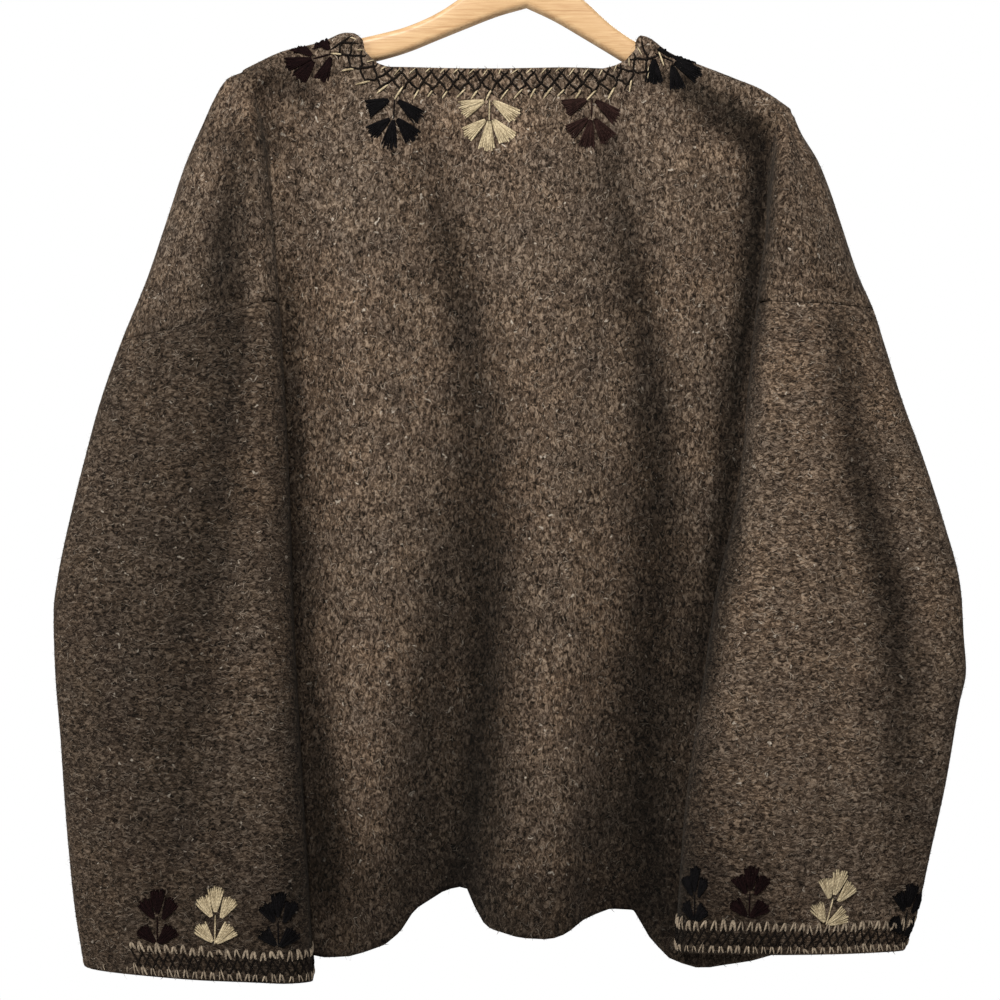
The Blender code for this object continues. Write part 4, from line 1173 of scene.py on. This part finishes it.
def neck_band(dark, cream, face, edge, into):
    """Herringbone lattice between two rows of slanted cream stitches along an edge line."""
    pos, way = along(edge, NECK_PITCH)
    inward = np.stack([-way[:, 1], way[:, 0]], axis=1) * into
    inward[1:-1] = inward[:-2] + 2.0 * inward[1:-1] + inward[2:]
    inward /= np.linalg.norm(inward, axis=1)[:, None]

    def spot(s, deep):
        s = min(max(s, 0.0), len(pos) - 1.001)
        i = int(s)
        f = s - i
        p = pos[i] * (1.0 - f) + pos[i + 1] * f
        q = inward[i] * (1.0 - f) + inward[i + 1] * f
        return p + q * deep

    jump = rng.normal(0.0, 0.07, (len(pos) + 2, 4))
    for k in range(len(pos) - 1):
        j = jump[k]
        for way_on, lift, ends in ((1.0, 0.1, j[:2]), (-1.0, 0.3, j[2:])):
            sway = rng.normal(0.0, 0.07, 9)
            spots = [spot(k + way_on * 0.74 * (2.0 * u - 1.0) + ends[0] + (ends[1] - ends[0]) * u + sway[i],
                          0.8 + 19.7 * u) for i, u in enumerate(np.linspace(0.0, 1.0, 9))]
            dark.strand(*face.trace(spots), 0.80, arch=lift, flat=0.65)
        size = rng.uniform(0.8, 1.15, 2)
        low = rng.normal(0.0, 0.8, 2)
        top = spot(k + 0.36 + j[1], 0.4), spot(k + 0.02 + j[0], 5.0 + low[0])
        cream.strand(*face.path(*top, 5), 0.50 * size[0], arch=0.3, taper=0.35)
        foot = spot(k + 0.72 + j[2], 15.6 + low[1]), spot(k + 0.24 + j[3], 23.6 + low[0])
        cream.strand(*face.path(*foot, 6), 0.78 * size[1], arch=0.4, taper=0.35)


def cuff_band(dark, cream, grid, outward, slant, bare_x):
    """The same band round a cuff, by distance above its edge, not beyond x where it stays bare."""
    edge = grid[-1]
    run = np.r_[0.0, np.cumsum(np.linalg.norm(np.diff(edge, axis=0), axis=1))]
    total = run[-1]
    n = int(round(total / CUFF_PITCH))
    step = total / n
    column = np.arange(len(edge))
    per_row = np.linalg.norm(np.diff(grid, axis=0), axis=2)[-8:].mean(axis=0)

    def spot(s, high):
        c = np.interp((s * step) % total, run, column)
        i = min(int(c), len(edge) - 2)
        f = c - i
        r = grid.shape[0] - 1 - high / (per_row[i] * (1.0 - f) + per_row[i + 1] * f)
        j = min(int(r), grid.shape[0] - 2)
        g = r - j
        mix = ((1.0 - f) * (1.0 - g), f * (1.0 - g), (1.0 - f) * g, f * g)
        where = ((j, i), (j, i + 1), (j + 1, i), (j + 1, i + 1))
        p = sum(w * grid[q] for w, q in zip(mix, where))
        u = sum(w * outward[q] for w, q in zip(mix, where))
        u = u / np.linalg.norm(u)
        return p + u * WALL / 2, u

    def path(s0, h0, s1, h1, count):
        got = [spot(s0 + (s1 - s0) * k, h0 + (h1 - h0) * k) for k in np.linspace(0.0, 1.0, count)]
        return np.array([g[0] for g in got]), np.array([g[1] for g in got])

    jump = rng.normal(0.0, 0.09, (n + 2, 4))
    tall = rng.normal(0.0, 0.9, (n + 2, 2))
    for k in range(n):
        j = jump[k]
        at = spot(k + 0.5, 10.0)[0][0]
        if at < bare_x:
            if k % 3 == 0:
                cream.strand(*path(k + 0.5 + j[0], 6.0, k + 0.5 + j[1], 1.0, 5), 0.40, arch=0.2, taper=0.4)
            continue
        dark.strand(*path(k - 0.66 + j[0], 19.5, k + 0.66 + j[1], 3.6, 7), 0.66, arch=0.1, flat=0.7)
        dark.strand(*path(k + 0.66 + j[2], 19.5, k - 0.66 + j[3], 3.6, 7), 0.66, arch=0.25, flat=0.7)
        size = rng.uniform(0.7, 1.25, 2)
        tip, foot = k + 0.5 + j[1] - 0.06 * slant, k + 0.5 + j[0]
        for side in (-1.0, 1.0):
            point = tip + 0.05 * side
            upper = path(point, 24.6 + tall[k, 0], foot + 0.30 * side, 17.6 + tall[k, 1], 6)
            cream.strand(*upper, 0.88 * size[0], arch=0.4, taper=0.4)
            lower = path(point, 7.4 + tall[k, 1], foot + 0.26 * side, 1.0, 5)
            cream.strand(*lower, 0.66 * size[1], arch=0.3, taper=0.35)


# Hanger
def bar_piece(mat):
    """Finely drawn wooden bar."""
    half = ARM_THICK / 2
    stations = np.linspace(-ARM[-1][0], ARM[-1][0], 161)
    ring = 12
    verts = []
    for x in stations:
        top = float(curve([a[0] for a in ARM], [a[1] for a in ARM], abs(x))[0])
        low = float(curve([a[0] for a in ARM], [a[2] for a in ARM], abs(x))[0])
        r = min(half, (top - low) / 2.01)
        for middle, first in ((top - r, 0.0), (low + r, math.pi)):
            for k in range(ring + 1):
                a = first + math.pi * k / ring
                px, pz = lean(x, middle + r * math.sin(a))
                verts.append((px * MM, r * math.cos(a) * MM, pz * MM))
    n = 2 * (ring + 1)
    faces = [[s * n + k, s * n + (k + 1) % n, (s + 1) * n + (k + 1) % n, (s + 1) * n + k]
             for s in range(len(stations) - 1) for k in range(n)]
    faces.append(list(range(n))[::-1])
    faces.append([(len(stations) - 1) * n + k for k in range(n)])
    return link("hanger_wood", verts, faces, [mat])


def hook_piece(mat):
    """Finely drawn wire hook with a rounded tip and a small collar on the wood."""
    radius = HOOK_RADIUS + HOOK_WIRE / 2
    knots = [(0.0, ARM[0][1] - 0.5), (0.0, -57.0), (0.3, -52.0), (2.5, -46.5), (7.5, -41.5)]
    knots += [(radius * math.cos(math.radians(-52.0 + 250.0 * k / 60)),
               -HOOK_RADIUS + radius * math.sin(math.radians(-52.0 + 250.0 * k / 60))) for k in range(61)]
    level = np.array(knots)
    run = np.r_[0.0, np.cumsum(np.linalg.norm(np.diff(level, axis=0), axis=1))]
    at = np.linspace(0.0, run[-1], 150)
    level = curve(run, level, at)
    pts = np.array([lean(*p) for p in level])
    way = np.gradient(pts, axis=0)
    way /= np.linalg.norm(way, axis=1)[:, None]
    left = run[-1] - at
    size = HOOK_WIRE / 2 * np.sqrt(np.clip(1.0 - np.clip(1.0 - left / 1.7, 0.0, 1.0) ** 2, 0.02, 1.0))
    size = size * (1.0 + 0.9 * np.exp(-(at / 1.6) ** 4))
    around = 16
    verts = []
    for (x, z), (tx, tz), r in zip(pts, way, size):
        for k in range(around):
            a = 2 * math.pi * k / around
            side = r * math.cos(a)
            verts.append(((x - tz * side) * MM, r * math.sin(a) * MM, (z + tx * side) * MM))
    n = len(pts)
    faces = []
    for s in range(n - 1):
        one, two = s * around, (s + 1) * around
        faces += [[one + k, two + k, two + (k + 1) % around, one + (k + 1) % around] for k in range(around)]
    faces.append(list(range(around)))
    faces.append([(n - 1) * around + k for k in range(around)][::-1])
    return link("hook_wire", verts, faces, [mat])


def ride(obj):
    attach(obj, "root")
    return obj


# Build the pieces
body_wool = wool_material("wool_body", (1.25, 1.0, 0.8), 1.0)
# Painted shade: the left sleeve's wool is a darker copy (lift 0.78) of the same wool, for the shade it lies
# in.
left_wool_shaded = wool_material("wool_sleeve_left_shaded", (0.8, 1.0, 1.35), 0.78)
right_wool = wool_material("wool_sleeve_right", (0.8, 1.0, 1.35), 1.0)
tones = [
    fibre_material("fibre_dark", (0.006, 0.004, 0.003), (0.018, 0.0125, 0.009)),
    fibre_material("fibre_mid", (0.046, 0.032, 0.022), (0.10, 0.074, 0.054)),
    fibre_material("fibre_light", (0.12, 0.094, 0.070), (0.24, 0.195, 0.15)),
]
yarns = {
    "cream": yarn_material("yarn_cream", (0.17, 0.13, 0.075), (0.40, 0.325, 0.205), sheen=0.03),
    "beige": yarn_material("yarn_beige", (0.09, 0.068, 0.048), (0.25, 0.198, 0.14), sheen=0.03),
    "black": yarn_material("yarn_black", (0.0008, 0.0007, 0.0007), (0.0035, 0.003, 0.0032)),
    "brown": yarn_material("yarn_brown", (0.006, 0.0028, 0.0022), (0.020, 0.0095, 0.0075)),
    "maroon": yarn_material("yarn_maroon", (0.0018, 0.0006, 0.0006), (0.0070, 0.0024, 0.0023)),
    "lattice": yarn_material("yarn_lattice", (0.0016, 0.0011, 0.001), (0.0085, 0.006, 0.0045)),
}
grids = panel_grids()
FLIP = {"back": False, "front_left": False, "front_right": True, "sleeve_left": True, "sleeve_right": False}
outer = {name: normals(grid, FLIP[name]) for name, grid in grids.items()}
# Share of painted shade on each panel's grid.
painted_shade = {name: shade(name, grid) for name, grid in grids.items()}
WOOLS = {"back": body_wool, "front_left": body_wool, "front_right": body_wool,
         "sleeve_left": left_wool_shaded, "sleeve_right": right_wool}
cloths = {}
for name, grid in grids.items():
    piece = shell("cloth_" + name, grid, FLIP[name], WOOLS[name], "sleeve" in name, painted_shade[name])
    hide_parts(name)
    cloths[name] = ride(piece)

faces_back = Face([cloths[n] for n in ("back", "sleeve_left", "sleeve_right")], -1.0)
faces_front = Face([cloths[n] for n in ("front_left", "front_right")], 1.0)
faces_sleeves = Face([cloths[n] for n in ("sleeve_left", "sleeve_right")], 1.0)
made = {name: [] for name in grids}


def sew(name, colour, yarn):
    if yarn.count:
        made[name].append(ride(yarn.make("yarn_%s_%s" % (name, colour), yarns[colour])))


def embroider(name, band, *worked):
    """A panel's band and flowers, one piece a colour."""
    sets = {colour: Yarn() for colour in yarns}
    band(sets)
    for face, flowers in worked:
        for *place, colour in flowers:
            flower(sets[colour], face, *place)
    for colour, yarn in sets.items():
        sew(name, colour, yarn)


def neck_edge():
    """The back's neck edge from the left shoulder line round to the right one."""
    start = (NECK_LEFT[0] + 0.4, float(ridge(NECK_LEFT[0])) - 1.2)
    stop = (NECK_RIGHT[0] - 0.4, float(ridge(NECK_RIGHT[0])) - 1.2)
    return [start] + list(BACK_NECK) + [stop]


def front_edge(side):
    out = -side["inward"]
    top = (NECK_LEFT if side is LEFT else NECK_RIGHT)
    pts = [(MIDDLE_X + out * (d + 0.3), z) for d, z in FRONT_NECK]
    pts.append((top[0], float(ridge(top[0])) - 1.6))
    return pts


def neck_rows(face, edge, into):
    return lambda sets: neck_band(sets["lattice"], sets["cream"], face, edge, into)


def cuff_rows(name, slant, bare_x):
    return lambda sets: cuff_band(sets["lattice"], sets["beige"], grids[name], outer[name], slant, bare_x)


embroider("back", neck_rows(faces_back, neck_edge(), -1.0), (faces_back, BACK_FLOWERS))
embroider("front_left", neck_rows(faces_front, front_edge(LEFT), 1.0),
          (faces_front, FRONT_NECK_FLOWERS[:2]))
embroider("front_right", neck_rows(faces_front, front_edge(RIGHT), -1.0),
          (faces_front, FRONT_NECK_FLOWERS[2:]))
embroider("sleeve_left", cuff_rows("sleeve_left", -1.0, LEFT_BARE_X),
          (faces_back, LEFT_FLOWERS), (faces_sleeves, FRONT_FLOWERS_LEFT))
embroider("sleeve_right", cuff_rows("sleeve_right", 1.0, -np.inf),
          (faces_back, RIGHT_FLOWERS), (faces_sleeves, FRONT_FLOWERS_RIGHT))

# Fibres of each panel: count, direction from the row, scatter
FIBRES = {
    "back": (26000, 1.35, 0.9),
    "front_left": (9000, 1.35, 0.9),
    "front_right": (9500, 1.35, 0.9),
    "sleeve_left": (17000, 0.1, 0.75),
    "sleeve_right": (17000, 0.1, 0.75),
}
for name, (count, heading, mess) in FIBRES.items():
    cloth = (grids[name], outer[name], painted_shade[name])
    short = fibres("fibres_" + name, *cloth, count, tones, (0.42, 0.40, 0.18), heading, mess, 4.6, 0.42, 0.4)
    hairs = fibres("hairs_" + name, *cloth, count // 7, tones[1:], (0.55, 0.45), heading, 1.5, 8.0, 0.13, 2.6)
    made[name] += [ride(short), ride(hairs)]

wood = bar_piece(wood_material())
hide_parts("hanger_bar")
ride(wood)
hook = hook_piece(steel_material())
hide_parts("hanger_hook")
ride(hook)


# Floor, light and camera
def floor():
    n = Nodes("pale_floor", 0.9)
    faint = n.noise(n.place(), 3.0, 2.0, 0.5)
    pale = n.cover(n.ramp(faint, (0.3, grey(0.86)), (0.7, grey(0.90))))
    reach, drop, around = 2.3, -1.32, 96
    turns = [2 * math.pi * k / around for k in range(around)]
    ring = [(reach * math.cos(a), reach * math.sin(a), drop) for a in turns]
    obj = link("floor", ring, [tuple(range(around))], [pale], smooth=False)


def lamp(name, place, aim, size, power):
    data = bpy.data.lights.new(name, "AREA")
    data.shape = "DISK"
    data.size = size
    data.energy = power
    obj = bpy.data.objects.new(name, data)
    obj.location = place
    obj.rotation_euler = (Vector(aim) - Vector(place)).to_track_quat("-Z", "Y").to_euler()
    bpy.context.scene.collection.objects.link(obj)


floor()
lamp("key", (-0.25, -1.45, 1.15), (-0.03, 0.0, -0.36), 0.5, 78.0)
lamp("side", (-1.9, -1.3, 0.2), (0.0, 0.0, -0.45), 0.8, 26.0)
lamp("behind", (0.5, 2.6, 0.9), (0.0, 0.0, -0.45), 1.6, 55.0)
# White paper seen behind, soft grey light from the room
world = bpy.data.worlds.new("studio")
world.use_nodes = True
tree = world.node_tree
room = tree.nodes["Background"]
room.inputs["Color"].default_value = (1.0, 1.0, 1.0, 1.0)
room.inputs["Strength"].default_value = 0.22
paper = tree.nodes.new("ShaderNodeBackground")
paper.inputs["Color"].default_value = (1.0, 1.0, 1.0, 1.0)
seen = tree.nodes.new("ShaderNodeLightPath")
both = tree.nodes.new("ShaderNodeMixShader")
tree.links.new(seen.outputs["Is Camera Ray"], both.inputs[0])
tree.links.new(room.outputs[0], both.inputs[1])
tree.links.new(paper.outputs[0], both.inputs[2])
tree.links.new(both.outputs[0], tree.nodes["World Output"].inputs["Surface"])
bpy.context.scene.world = world
bpy.context.scene.view_settings.view_transform = "Standard"

camera = bpy.data.cameras.new("camera")
camera.lens = 96.0
camera.sensor_width = 36.0
eye = bpy.data.objects.new("camera", camera)
eye.location = (-0.027, -2.0, -0.460)
eye.rotation_euler = (math.radians(90.0), 0.0, 0.0)
bpy.context.scene.collection.objects.link(eye)
bpy.context.scene.camera = eye
bpy.context.view_layer.update()
